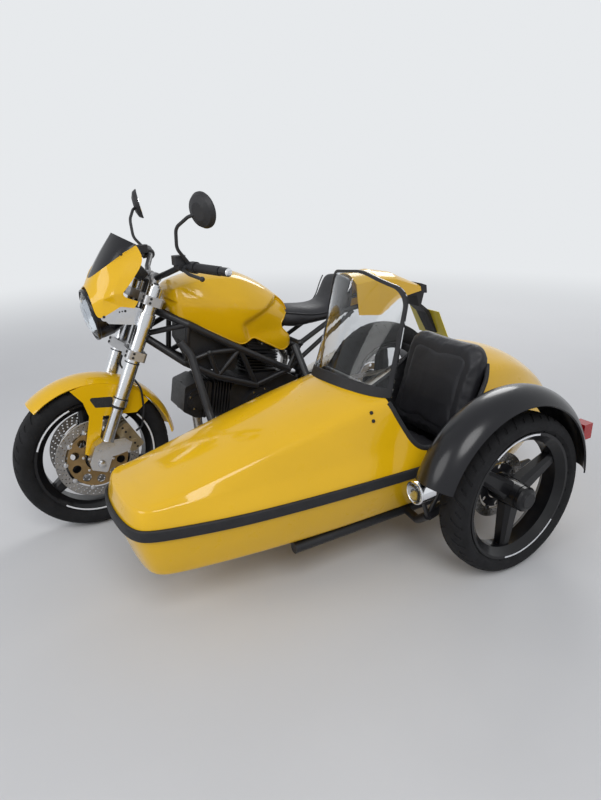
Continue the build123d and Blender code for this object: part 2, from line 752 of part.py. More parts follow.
tank_rows = [
    # x, bottom half, bottom z, widest half, widest z, shoulder half, shoulder z, crown z
    (1094, 44, 842, 68, 868, 50, 896, 902),
    (1054, 98, 814, 118, 866, 90, 928, 944),
    (930, 122, 752, 158, 842, 108, 946, 974),
    (800, 122, 690, 162, 812, 104, 936, 964),
    (690, 110, 640, 140, 780, 84, 884, 912),
    (560, 96, 600, 104, 720, 60, 790, 806),
]


def tank_loft():
    rings = []
    for x, bottom, low, wide, middle, shoulder, high, crown in tank_rows:
        wire = Wire([
            Line((x, -bottom, low), (x, bottom, low)),
            ThreePointArc((x, bottom, low), (x, wide, middle), (x, shoulder, high)),
            ThreePointArc((x, shoulder, high), (x, 0, crown), (x, -shoulder, high)),
            ThreePointArc((x, -shoulder, high), (x, -wide, middle), (x, -bottom, low)),
        ])
        rings.append(Face(wire))
    return loft(rings)


tank_lower_edge = [(1130, 1000), (1130, 842), (1105, 842), (792, 690), (756, 694), (628, 628),
                   (580, 648), (628, 716), (590, 790), (500, 760), (500, 1000)]
fuel_tank = tank_loft() & side_plate(tank_lower_edge, -200, 200)
tunnel_half = 101
steering_axis = Axis(tuple(on_steering_axis(0)), tuple(steer_up))
for angle in (steer_limit, steer_limit * 2 / 3, steer_limit / 3):
    turned_room = yoke_room.rotate(steering_axis, angle)
    fuel_tank = fuel_tank - turned_room - right_of(turned_room)
tunnel_side = [(480, 500), (480, 764), (790, 772), (1000, 800), (1070, 830), (1130, 830), (1130, 500)]
tunnel = side_plate(tunnel_side, -tunnel_half, tunnel_half)
fuel_tank = without(fuel_tank, tunnel, frame_left, frame_right, frame_cross, subframe)

seat_side = [(600, 792), (560, 786), (470, 772), (380, 768), (330, 782), (308, 830), (292, 884),
             (262, 892), (232, 876), (226, 760), (560, 712), (616, 716)]
seat_half = 112
rider_seat = side_plate(seat_side, -seat_half, seat_half, bends=5)
rider_seat = rider_seat - fuel_tank - subframe

cowl_rows = [
    # x, half low, z low, half high, shoulder z, crown z
    (225, 118, 716, 96, 850, 890),
    (100, 116, 700, 96, 862, 898),
    (-20, 96, 760, 80, 846, 876),
    (-200, 50, 770, 44, 790, 800),
]


def cowl_loft(inset):
    rings = []
    for x, low_half, low, high_half, shoulder, crown in cowl_rows:
        a = low_half - inset
        b = high_half - inset
        wire = Wire([
            Line((x, -a, low), (x, a, low)),
            Line((x, a, low), (x, b, shoulder - inset)),
            ThreePointArc((x, b, shoulder - inset), (x, 0, crown - inset),
                          (x, -b, shoulder - inset)),
            Line((x, -b, shoulder - inset), (x, -a, low)),
        ])
        rings.append(Face(wire))
    return loft(rings, ruled=True)


tail_cowl = cowl_loft(0) - cowl_loft(4) - subframe - rider_seat
tail_cowl = tail_cowl.solids().sort_by(SortBy.VOLUME)[-1]
tail_end = cowl_rows[-1][0] - seat_gap
tail_light = side_plate([(tail_end, 806), (tail_end, 758), (-246, 752), (-240, 792)], -42, 42, bends=4)
plate_top = Vector(-268, 0, 664)
plate_low = Vector(-344, 0, 518)
plate_way = (plate_low - plate_top).normalized()
plate_back = Vector(plate_way.Z, 0, -plate_way.X)
hanger_top = plate_top + plate_way * 6 - plate_back * seat_gap
hanger_low = plate_top + plate_way * 140 - plate_back * seat_gap
hanger_side = [(-24, 790), (-60, 790), (-110, 766), (-230, 762), (-214, 700), (hanger_top.X, hanger_top.Z),
               (hanger_low.X, hanger_low.Z), (hanger_low.X + 9, hanger_low.Z - 3), (-252, 650), (-200, 690),
               (-180, 748), (-60, 752), (-24, 752)]
plate_hanger = side_plate(hanger_side, -40, 40)
plate_edge = [plate_top, plate_low, plate_low + plate_back * 2.5, plate_top + plate_back * 2.5]
plate_half = 110
number_plate = side_plate([(p.X, p.Z) for p in plate_edge], -plate_half, plate_half)
tail_carrier = tail_light + (plate_hanger - subframe)
number_plate = number_plate - tail_carrier

# Swingarm, axle and rear shock

arm_side = [(-46, 292), (-46, 340), (60, 352), (380, 410), (500, 430), (542, 410), (542, 376),
            (500, 360), (380, 350), (60, 298)]
arm_left = side_plate(arm_side, arm_inner, arm_outer, bends=8)
arm_bridge = bar_y(425, 385, 24, -arm_inner, arm_inner)
rear_axle_rod = bar_y(0, rear_tyre_radius, axle_radius, -arm_outer - 14, arm_outer + 14)
rear_axle_node = rear_axle_rod - bar_y(0, rear_tyre_radius, axle_bore, -200, 200)
pivot_rod = bar_y(pivot_x, pivot_z, 14 - fit, -arm_outer - 6, arm_outer + 6)
bobbin_bore = bar_y(-30, 328, 4, arm_outer - 12, arm_outer + 1)
swingarm = arm_left + right_of(arm_left) + arm_bridge
swingarm = without(swingarm, rear_axle_rod, bobbin_bore, right_of(bobbin_bore))
swingarm = swingarm + (pivot_rod - engine_cases)
rear_caliper = caliper_block(rear_axle, rear_disc_y, rear_disc_radius, 28, 84, 44,
                             rear_disc_y - 27, rear_disc_y + 15, 5)
swingarm = swingarm + (rear_caliper - swingarm)

shock_low = (440, 0, 402)
shock_high = (545, 0, 640)


def shock(low, high, coil_radius, coils):
    """A damper with its spring, turned round the line from its lower to its upper eye."""
    low = Vector(low)
    way = Vector(high) - low
    length = way.length
    profile = [(0, 0), (12, 0), (12, 0.14 * length), (coil_radius, 0.15 * length)]
    first = 0.17 * length
    pitch = 0.62 * length / coils
    for number in range(coils):
        profile.append((coil_radius, first + number * pitch))
        profile.append((coil_radius - 7, first + (number + 0.5) * pitch))
    profile += [(coil_radius, 0.8 * length), (coil_radius, 0.82 * length), (16, 0.84 * length),
                (16, length), (0, length)]
    body = revolve(outline([(r, 0, h) for r, h in profile]), Axis.Z)
    return Plane(origin=low, z_dir=way).location * body


rear_shock = shock(shock_low, shock_high, 30, 6) - arm_bridge - frame_cross

# Exhaust

silencer_start = Vector(330, 205, 340)
silencer_end = Vector(-170, 212, 520)
silencer = rod(silencer_start, silencer_end, 50)
header_points = [(1010, 40, 420), (1000, 46, 250), (900, 56, 186), (560, 62, 186), (430, 120, 260),
                 tuple(silencer_start)]
header_front = tube(header_points, [60, 80, 60, 60], 20)
header_points = [(650, -60, 622), (560, -66, 604), (500, -92, 520), (470, -176, 430), (410, -190, 350),
                 (silencer_start.X, -silencer_start.Y, silencer_start.Z)]
header_rear = tube(header_points, [30, 40, 40, 40], 18)
header_front = header_front - silencer - front_cylinder
header_rear = header_rear - right_of(silencer) - rear_cylinder
exhaust_left = silencer + header_front.solids().sort_by(SortBy.VOLUME)[-1]
exhaust_right = right_of(silencer) + header_rear.solids().sort_by(SortBy.VOLUME)[-1]
exhaust_system = grouped(exhaust_left, exhaust_right)

# Footrests, and the intake box between the cylinders

footrest_side = [(500, 412), (532, 412), (606, 322), (586, 300), (500, 372)]
footrest_plate = side_plate(footrest_side, arm_outer + 6, arm_outer + 12, bends=6)
footrest = footrest_plate + bar_y(588, 316, 9, arm_outer + 10, arm_outer + 96)
footrests = both_sides(footrest)
airbox_side = [(836, 556), (990, 590), (1040, 700), (1030, 790), (800, 758), (812, 640)]
airbox = side_plate(airbox_side, -84, 84, bends=12)
airbox = airbox - front_cylinder - rear_cylinder - frame_left - frame_right - frame_cross

# Sidecar body: plan outlines and roof sections


def hull_outline(rows, z, grow):
    """Closed plan outline from its half: nose corner, waist, widest, tail corner and ends."""
    nose_x, nose_corner_x, nose_half, mid_x, mid_half, wide_x, wide_half, rear_x, rear_half, tail_x = rows
    y = sidecar_y
    edges = [
        ThreePointArc((nose_corner_x, y - nose_half - grow, z), (nose_x + grow, y, z),
                      (nose_corner_x, y + nose_half + grow, z)),
        ThreePointArc((nose_corner_x, y + nose_half + grow, z), (mid_x, y + mid_half + grow, z),
                      (wide_x, y + wide_half + grow, z)),
        ThreePointArc((wide_x, y + wide_half + grow, z), (rear_x, y + rear_half + grow, z),
                      (tail_x + 60, y + 90 + grow, z)),
        ThreePointArc((tail_x + 60, y + 90 + grow, z), (tail_x - grow, y, z), (tail_x + 60, y - 90 - grow, z)),
        ThreePointArc((tail_x + 60, y - 90 - grow, z), (rear_x, y - rear_half - grow, z),
                      (wide_x, y - wide_half - grow, z)),
        ThreePointArc((wide_x, y - wide_half - grow, z), (mid_x, y - mid_half - grow, z),
                      (nose_corner_x, y - nose_half - grow, z)),
    ]
    return Wire(edges)


belt_row = (1515, 1460, 190, 1000, 264, 549, 289, 0, 250, -385)
bottom_row = (1470, 1425, 140, 1000, 205, 549, 214, 60, 190, -240)


def lower_hull(inset):
    low = hull_outline(bottom_row, hull_bottom + inset, -inset)
    high = hull_outline(belt_row, belt_height, -inset)
    return Solid.make_loft([low, high], ruled=True)


hull_lower_outer = lower_hull(0)
hull_lower = hull_lower_outer - lower_hull(hull_wall)

roof_rows = [
    # x, belt half, shoulder half, shoulder z, ridge half, ridge z, crown z
    (1560, 184, 168, 440, 150, 444, 452),
    (1461, 196, 182, 448, 168, 456, 470),
    (1157, 252, 210, 455, 184, 524, 562),
    (821, 282, 240, 458, 198, 598, 640),
    (640, 292, 256, 460, 206, 626, 676),
    (400, 296, 262, 462, 208, 660, 712),
    (140, 280, 250, 466, 196, 655, 708),
    (-90, 246, 216, 458, 168, 580, 636),
    (-280, 180, 160, 440, 120, 466, 520),
    (-400, 116, 100, 400, 70, 404, 420),
]


def roof_loft(inset, first, last):
    rings = []
    for x, belt, shoulder, shoulder_z, ridge, ridge_z, crown in roof_rows[first:last]:
        z0 = belt_height - 2
        y = sidecar_y
        a = belt + 3 - inset
        b = shoulder - inset
        c = ridge - inset
        wire = Wire([
            Line((x, y - a, z0), (x, y + a, z0)),
            Line((x, y + a, z0), (x, y + b, shoulder_z)),
            Line((x, y + b, shoulder_z), (x, y + c, ridge_z - inset)),
            ThreePointArc((x, y + c, ridge_z - inset), (x, y, crown - inset), (x, y - c, ridge_z - inset)),
            Line((x, y - c, ridge_z - inset), (x, y - b, shoulder_z)),
            Line((x, y - b, shoulder_z), (x, y - a, z0)),
        ])
        rings.append(Face(wire))
    return loft(rings, ruled=True)


def upper_hull(inset):
    plan = Face(hull_outline(belt_row, belt_height, -inset))
    prism = extrude(plan, amount=400, dir=(0, 0, 1))
    return roof_loft(inset, 0, len(roof_rows)) & prism


hull_upper_outer = upper_hull(0)
hull_upper = hull_upper_outer - upper_hull(hull_wall)
cockpit_side = [(648, 800), (648, 628), (634, 596), (601, 525), (566, 462), (509, 445), (441, 450), (387, 473),
                (300, 520), (225, 590), (170, 660), (150, 800)]
cockpit_cut = side_plate(cockpit_side, sidecar_y - 400, sidecar_y + 400)
foot_cut_plan = [(600, sidecar_y - 170), (600, sidecar_y + 170), (660, sidecar_y + 160), (716, sidecar_y + 100),
                 (734, sidecar_y), (716, sidecar_y - 100), (660, sidecar_y - 160)]
cockpit_front_cut = plan_plate(foot_cut_plan, 560, 800)
hull_upper = hull_upper - cockpit_cut - cockpit_front_cut

trim_outer = Face(hull_outline(belt_row, belt_height - trim_height / 2, trim_proud))
trim_inner = Face(hull_outline(belt_row, belt_height - trim_height, -14))
trim_band = extrude(trim_outer, amount=trim_height, dir=(0, 0, 1))
trim_core = extrude(trim_inner, amount=2 * trim_height, dir=(0, 0, 1))
belt_trim = trim_band - trim_core - hull_lower_outer - hull_upper_outer

# Windscreen

def screen_band(low_z, high_z, inside, outside):
    rows = [
        # z, edge x, middle x
        (low_z, 649, 806),
        (high_z, 561, 588),
    ]
    rings = []
    for z, edge, middle in rows:
        y = screen_y
        w = screen_half_width
        wire = Wire([
            ThreePointArc((edge + outside, y - w, z), (middle + outside, y, z), (edge + outside, y + w, z)),
            Line((edge + outside, y + w, z), (edge - inside, y + w, z)),
            ThreePointArc((edge - inside, y + w, z), (middle - inside, y, z), (edge - inside, y - w, z)),
            Line((edge - inside, y - w, z), (edge + outside, y - w, z)),
        ])
        rings.append(wire)
    return Solid.make_loft(rings, ruled=True)


def screen_window(inset):
    w = screen_half_width - inset
    top = screen_top - inset
    face = outline([(500, screen_y - w, 500), (500, screen_y + w, 500), (500, screen_y + w, top - 34),
                    (500, screen_y, top + 6), (500, screen_y - w, top - 20)], bends=[2, 2, 62, 300, 50])
    return extrude(face, amount=400, dir=(1, 0, 0))


screen_low = 530
screen_high = 1030
windscreen = screen_band(screen_low, screen_high, screen_thickness, 0) & screen_window(0)
windscreen = windscreen - hull_upper_outer
screen_thick = screen_band(screen_low, screen_high, screen_thickness + 4, 4)
rim_zone = screen_window(0) - screen_window(9)
screen_trim = (screen_thick & rim_zone) - hull_upper_outer - windscreen
screen_trim = screen_trim.solids().sort_by(SortBy.VOLUME)[-1]
foot_zone = (Pos(0, 0, 30) * hull_upper_outer) - hull_upper_outer
screen_strip = (screen_band(screen_low, screen_high, 0, 4) & foot_zone) - windscreen
screen_trim = screen_trim + screen_strip

# Cockpit: seat, roll and handle

seat_base_z = hull_bottom + hull_wall + seat_gap
seat_back_half = 194
seat_base_side = [(560, seat_base_z), (560, 300), (330, 330), (250, 310), (250, seat_base_z)]
seat_cushion = side_plate(seat_base_side, sidecar_y - 186, sidecar_y + 186, bends=12)
seat_back_side = [(330, 340), (300, 334), (240, 470), (150, 712), (178, 730), (214, 722), (290, 520)]
seat_back = side_plate(seat_back_side, sidecar_y - seat_back_half, sidecar_y + seat_back_half, bends=8)
seat_back = seat_back - hull_upper - hull_lower
roll_points = [(650, 206, 634), (601, 230, 528), (562, 250, 462), (500, 258, 448), (400, 260, 470),
               (300, 252, 522), (220, 226, 596), (172, 196, 660)]
roll_left = tube([(x, sidecar_y + y, z) for x, y, z in roll_points], [30, 40, 60, 60, 60, 60], 10)
roll_left = roll_left - hull_upper
roll_right = mirror(roll_left, about=Plane(origin=(0, sidecar_y, 0), z_dir=(0, 1, 0)))
roll_left = without(roll_left, screen_trim, windscreen).solids().sort_by(SortBy.VOLUME)[-1]
roll_right = without(roll_right, screen_trim, windscreen).solids().sort_by(SortBy.VOLUME)[-1]
cockpit_roll = grouped(roll_left, roll_right)
seat_back = seat_back - cockpit_roll
handle_points = [(676, sidecar_y - 212, 590), (662, sidecar_y - 150, 648), (662, sidecar_y + 150, 648),
                 (676, sidecar_y + 212, 590)]
grab_handle = without(tube(handle_points, [30, 30], 9), hull_upper, cockpit_roll, windscreen, screen_trim)
grab_handle = grab_handle.solids().sort_by(SortBy.VOLUME)[-1]

# Sidecar chassis, wheel arm and struts

rail_z = hull_bottom - rail_radius - seat_gap
inner_rail_y = 425
outer_rail_y = 846
inner_rail = rod((1180, inner_rail_y, rail_z), (-120, inner_rail_y, rail_z), rail_radius)
outer_rail = rod((1004, outer_rail_y, rail_z), (-120, outer_rail_y, rail_z), rail_radius)
chassis_rails = grouped(inner_rail, outer_rail)
arm_y = 985
arm_pivot = (560, arm_y, 228)
crossbar_places = [980, 540, -60]
crossbars = [bar_y(x, rail_z, rail_radius - 2, inner_rail_y, outer_rail_y) for x in crossbar_places]
cross_middle = crossbars[1]
chassis_crossbars = grouped(*[bar - inner_rail - outer_rail for bar in crossbars])
outrigger_points = [(1004, outer_rail_y, rail_z), (838, 926, rail_z), (650, 974, rail_z), arm_pivot]
outrigger = tube(outrigger_points, [80, 60], rail_radius)
outrigger_points = [arm_pivot, (552, 930, rail_z), (540, outer_rail_y, rail_z)]
outrigger_rear = tube(outrigger_points, [30], rail_radius - 4)
guard_axle = Vector(329, sidecar_wheel_y, 300)
sidecar_guard_half = 80
sidecar_guard = arc_guard(guard_axle, 378, 330, sidecar_guard_half, guard_wall, 20, 178)
lamp_place = Vector(636, 1062, 392)
side_lamp = rod(lamp_place, lamp_place + Vector(56, 0, 0), 37) - sidecar_guard
side_lamp = side_lamp.solids().sort_by(SortBy.VOLUME)[-1]
stay_tops = [(guard_axle.X, sidecar_wheel_y - sidecar_guard_half + 1, 630),
             tuple(lamp_place + Vector(14, -28, -4))]
guard_stays = joined(*[rod(arm_pivot, top, 8) for top in stay_tops])
outrigger = joined(outrigger, Location(arm_pivot) * Sphere(rail_radius), outrigger_rear, guard_stays)
outrigger = outrigger - outer_rail - cross_middle - sidecar_guard - side_lamp
outrigger = outrigger.solids().sort_by(SortBy.VOLUME)[-1]
rear_lamp = Location((-44, 1105, 445)) * Box(44, 50, 58)
rear_lamp = (rear_lamp - sidecar_guard).solids().sort_by(Axis.X)[0]
sidecar_lamps = grouped(side_lamp, rear_lamp)
stub_axle = bar_y(sidecar_wheel_x, sidecar_tyre_radius, axle_radius, arm_y - 20,
                  sidecar_wheel_y + sidecar_hub_outer - 1)
stub_boss = bar_y(sidecar_wheel_x, sidecar_tyre_radius, 30, arm_y - 20,
                  sidecar_wheel_y + sidecar_hub_inner - 2)
sidecar_caliper = caliper_block(sidecar_axle, sidecar_disc_y, sidecar_disc_radius, 22, 84, 46,
                                sidecar_disc_y - 24, sidecar_disc_y + 15, 5)
caliper_bracket = side_plate([(286, 306), (370, 352), (410, 306), (330, 262)], arm_y, sidecar_disc_y - 22)
sidecar_arm = rod(arm_pivot, (sidecar_wheel_x, arm_y, sidecar_tyre_radius), 18) - outrigger
sidecar_arm = joined(sidecar_arm, stub_boss, stub_axle, caliper_bracket, sidecar_caliper)

strut_rows = {
    # name: points and bends
    "front_upper": ([(1085, 150, 731), (1055, 172, 680), (1032, 250, 470), (1010, inner_rail_y, rail_z)], [60, 90]),
    "rear_upper": ([(585, 150, 640), (560, 300, 400), (540, inner_rail_y, rail_z)], [90]),
    "front_lower": ([(850, 80, 262), (850, 260, 240), (850, inner_rail_y, rail_z)], [60]),
    "rear_lower": ([(500, 152, 385), (470, 260, 330), (440, inner_rail_y, rail_z)], [60]),
}
struts = []
for points, bends in strut_rows.values():
    strut = without(tube(points, bends, 16), inner_rail, chassis_crossbars, frame_left, engine_cases,
                    swingarm, footrest, subframe)
    struts.append(strut.solids().sort_by(SortBy.VOLUME)[-1])
sidecar_struts = grouped(*struts)

# Small screen above the headlight fairing


fly_screen_step = (-3.6, 0, -1.9)
fly_rows = [
    # edge x, half width, edge z, middle x, middle z
    (16, 112, 252, 198, 168),
    (0, 96, 278, 56, 314),
]


def fly_bow(edge_x, half, edge_z, middle_x, middle_z):
    """A bow-shaped face between an arc and its chord, in the plane of the arc."""
    left = tuple(ahead(edge_x, half, edge_z))
    right = tuple(ahead(edge_x, -half, edge_z))
    return Face(Wire([ThreePointArc(right, tuple(ahead(middle_x, 0, middle_z)), left), Line(left, right)]))


fly_form = loft([fly_bow(*row) for row in fly_rows], ruled=True)
fly_screen = fly_form - Pos(*fly_screen_step) * fly_form
fly_screen = (fly_screen - nose_fairing).solids().sort_by(SortBy.VOLUME)[-1]

nodes = {
    "front_tyre": front_tyre,
    "front_rim": front_rim,
    "front_discs": front_discs,
    "rear_tyre": rear_tyre,
    "rear_rim": rear_rim,
    "rear_disc": rear_disc,
    "rear_sprocket": rear_sprocket,
    "drive_chain": drive_chain,
    "sidecar_tyre": sidecar_tyre,
    "sidecar_rim": sidecar_rim,
    "sidecar_disc": sidecar_disc,
    "front_axle": front_axle_node,
    "fork_tubes": fork_tubes,
    "fork_sliders": fork_sliders,
    "front_calipers": front_calipers,
    "lower_yoke": lower_yoke,
    "top_yoke": top_yoke,
    "handlebar": handlebar,
    "grips": grips,
    "controls": controls,
    "mirrors": mirrors,
    "headlight_shell": headlight_shell,
    "headlight_lens": headlight_lens,
    "lamp_brackets": lamp_brackets,
    "nose_fairing": nose_fairing,
    "fly_screen": fly_screen,
    "instruments": instruments,
    "front_mudguard": front_mudguard,
    "frame_left": frame_left,
    "frame_right": frame_right,
    "frame_head": frame_head,
    "subframe": subframe,
    "engine_cases": engine_cases,
    "front_cylinder": front_cylinder,
    "rear_cylinder": rear_cylinder,
    "airbox": airbox,
    "fuel_tank": fuel_tank,
    "rider_seat": rider_seat,
    "tail_cowl": tail_cowl,
    "tail_carrier": tail_carrier,
    "number_plate": number_plate,
    "swingarm": swingarm,
    "rear_axle": rear_axle_node,
    "rear_shock": rear_shock,
    "exhaust_system": exhaust_system,
    "footrests": footrests,
    "hull_lower": hull_lower,
    "hull_upper": hull_upper,
    "belt_trim": belt_trim,
    "windscreen": windscreen,
    "screen_trim": screen_trim,
    "sidecar_seat": grouped(seat_cushion, seat_back),
    "cockpit_roll": cockpit_roll,
    "grab_handle": grab_handle,
    "chassis_rails": chassis_rails,
    "chassis_crossbars": grouped(chassis_crossbars, outrigger),
    "sidecar_arm": sidecar_arm,
    "sidecar_mudguard": sidecar_guard,
    "sidecar_lamps": sidecar_lamps,
    "sidecar_struts": sidecar_struts,
}

os.makedirs("parts", exist_ok=True)
whole = grouped(*nodes.values())
box = whole.bounding_box()
shift = Pos(-box.center().X, -box.center().Y, -box.min.Z)
for name, piece in nodes.items():
    export_step(shift * grouped(piece), f"parts/{name}.step")
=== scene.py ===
from collections import namedtuple
from math import atan2, cos, pi, radians, sin, sqrt

import bmesh
import bpy
from mathutils import Matrix, Vector
from mathutils.bvhtree import BVHTree


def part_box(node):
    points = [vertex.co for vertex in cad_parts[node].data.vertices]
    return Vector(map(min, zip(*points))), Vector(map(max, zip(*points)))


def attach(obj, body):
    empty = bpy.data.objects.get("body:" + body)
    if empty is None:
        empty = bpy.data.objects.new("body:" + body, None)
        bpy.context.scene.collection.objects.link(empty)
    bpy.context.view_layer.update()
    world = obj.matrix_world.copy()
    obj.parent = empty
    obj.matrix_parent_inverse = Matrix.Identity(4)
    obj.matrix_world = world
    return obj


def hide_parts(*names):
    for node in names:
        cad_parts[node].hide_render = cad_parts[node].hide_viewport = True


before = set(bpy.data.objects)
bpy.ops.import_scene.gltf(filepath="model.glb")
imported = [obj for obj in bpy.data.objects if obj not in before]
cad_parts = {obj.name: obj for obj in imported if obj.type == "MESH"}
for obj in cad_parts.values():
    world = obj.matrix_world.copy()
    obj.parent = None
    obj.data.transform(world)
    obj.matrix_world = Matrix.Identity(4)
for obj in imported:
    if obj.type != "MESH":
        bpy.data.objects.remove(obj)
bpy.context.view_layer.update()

# The rear wheel's axle stands above the point that the lengths below are measured from
rear_low, rear_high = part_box("rear_tyre")
BASE = Vector(((rear_low.x + rear_high.x) / 2, (rear_low.y + rear_high.y) / 2, 0))


def at(x, y, z):
    """A place given in millimetres from the ground below the rear axle, in metres of the frame."""
    return BASE + Vector((x, y, z)) / 1000


def new_object(name, data):
    thing = bpy.data.objects.new(name, data)
    bpy.context.scene.collection.objects.link(thing)
    return thing


def aimed(place, look):
    """Where a camera or a lamp stands and the way it looks, as one matrix."""
    return Matrix.Translation(place) @ look.to_track_quat("-Z", "Y").to_matrix().to_4x4()


# Steering axis and fork, in millimetres

FRONT_AXLE = Vector((1430, 0, 298))
STEER_LEAN = radians(24)
STEER_LIMIT = 26
STEER_UP = Vector((-sin(STEER_LEAN), 0, cos(STEER_LEAN)))
STEER_FORWARD = Vector((cos(STEER_LEAN), 0, sin(STEER_LEAN)))
FORK_OFFSET = 26.2
FORK_HALF_TRACK = 104
LOWER_YOKE = 438
TOP_YOKE = 650
HOSES_BELOW = 420.5


def on_fork(height, forward=0, y=0):
    """A place measured from the front axle along and ahead of the fork."""
    return FRONT_AXLE + STEER_UP * height + STEER_FORWARD * forward + Vector((0, y, 0))


# Camera

CAMERA_PLACE = (1809.2, 2294.4, 1322.4)
CAMERA_YAW = 239.8
CAMERA_PITCH = -20.7
CAMERA_ROLL = -1.3
CAMERA_LENS = 26.97


def make_camera():
    data = bpy.data.cameras.new("camera")
    data.lens = CAMERA_LENS
    data.sensor_width = 36
    camera = new_object("camera", data)
    yaw = radians(CAMERA_YAW)
    pitch = radians(CAMERA_PITCH)
    look = Vector((cos(yaw) * cos(pitch), sin(yaw) * cos(pitch), sin(pitch)))
    camera.matrix_world = aimed(at(*CAMERA_PLACE), look) @ Matrix.Rotation(radians(CAMERA_ROLL), 4, "Z")
    bpy.context.scene.camera = camera


# Materials

NOISE_ROUGH = 0.6


def fill_in(node, values):
    for name, value in values.items():
        node.inputs[name].default_value = value


def new_node(tree, kind, links=None, values=None, **settings):
    """A shader node with its settings, the values of its inputs and the links into them."""
    node = tree.nodes.new("ShaderNode" + kind)
    for name, value in settings.items():
        setattr(node, name, value)
    fill_in(node, values or {})
    for place, source in (links or {}).items():
        tree.links.new(source, node.inputs[place])
    return node


def show_mix(tree, output, share, first, second):
    """Shows a mix of two shaders on a tree's output."""
    mix = new_node(tree, "MixShader", {"Fac": share, 1: first, 2: second})
    tree.links.new(mix.outputs["Shader"], tree.nodes[output].inputs["Surface"])


def shader(name):
    """A new material with its Principled node and Object coordinates."""
    material = bpy.data.materials.new(name)
    material.use_nodes = True
    tree = material.node_tree
    return material, tree, tree.nodes["Principled BSDF"], new_node(tree, "TexCoord").outputs["Object"]


def noise(tree, where, scale, detail, stretch=None):
    if stretch:
        where = new_node(tree, "Mapping", {"Vector": where}, {"Scale": stretch}).outputs["Vector"]
    values = {"Scale": scale, "Detail": detail, "Roughness": NOISE_ROUGH}
    return new_node(tree, "TexNoise", {"Vector": where}, values).outputs["Fac"]


def cells(tree, where, scale):
    return new_node(tree, "TexVoronoi", {"Vector": where}, {"Scale": scale}).outputs["Distance"]


def ramp(tree, source, stops):
    node = new_node(tree, "ValToRGB", {"Fac": source})
    while len(node.color_ramp.elements) < len(stops):
        node.color_ramp.elements.new(0.5)
    for element, (place, colour) in zip(node.color_ramp.elements, stops):
        element.position = place
        element.color = (*colour, 1)
    return node.outputs["Color"]


def between(tree, source, low, high):
    """The middle of a noise's spread, drawn out from a low to a high value."""
    values = {"From Min": 0.3, "From Max": 0.7, "To Min": low, "To Max": high}
    return new_node(tree, "MapRange", {"Value": source}, values).outputs["Result"]


def bump(tree, surface, source, strength, depth):
    node = new_node(tree, "Bump", {"Height": source}, {"Strength": strength, "Distance": depth})
    tree.links.new(node.outputs["Normal"], surface.inputs["Normal"])


def tint(colour, factor):
    return tuple(min(1.0, max(0.0, channel * factor)) for channel in colour)


def finish(name, colour, rough, metal=0.0, coat=0.0, shade=0.12, patch=9.0, rough_spread=0.06,
           grain=0.0, grain_scale=400.0, grain_depth=0.0004, leather=False, stretch=None, gleam=0.5,
           coat_rough=0.03):
    """One solid finish: its colour drifts in soft patches, its gloss varies and its grain is bump."""
    material, tree, surface, where = shader(name)
    drift = noise(tree, where, patch, 4.0)
    colours = ramp(tree, drift, [(0.3, tint(colour, 1 - shade)), (0.7, tint(colour, 1 + shade))])
    tree.links.new(colours, surface.inputs["Base Color"])
    wear = noise(tree, where, patch * 6, 3.0, stretch)
    low = max(0.02, rough - rough_spread)
    tree.links.new(between(tree, wear, low, rough + rough_spread), surface.inputs["Roughness"])
    fill_in(surface, {"Metallic": metal, "Coat Weight": coat, "Coat Roughness": coat_rough,
                      "Specular IOR Level": gleam})
    if grain:
        source = cells(tree, where, grain_scale) if leather else noise(tree, where, grain_scale, 2.0, stretch)
        bump(tree, surface, source, grain, grain_depth)
    return material


def clear(name, colour, rough, ior):
    """A see-through plastic or glass with a trace of haze."""
    material, tree, surface, where = shader(name)
    fill_in(surface, {"Base Color": (*colour, 1), "Transmission Weight": 1.0, "IOR": ior})
    haze = noise(tree, where, 30, 4.0)
    tree.links.new(between(tree, haze, rough * 0.4, rough * 1.6), surface.inputs["Roughness"])
    return material


YELLOW = (0.74, 0.43, 0.004)
BLACK = (0.012, 0.012, 0.014)

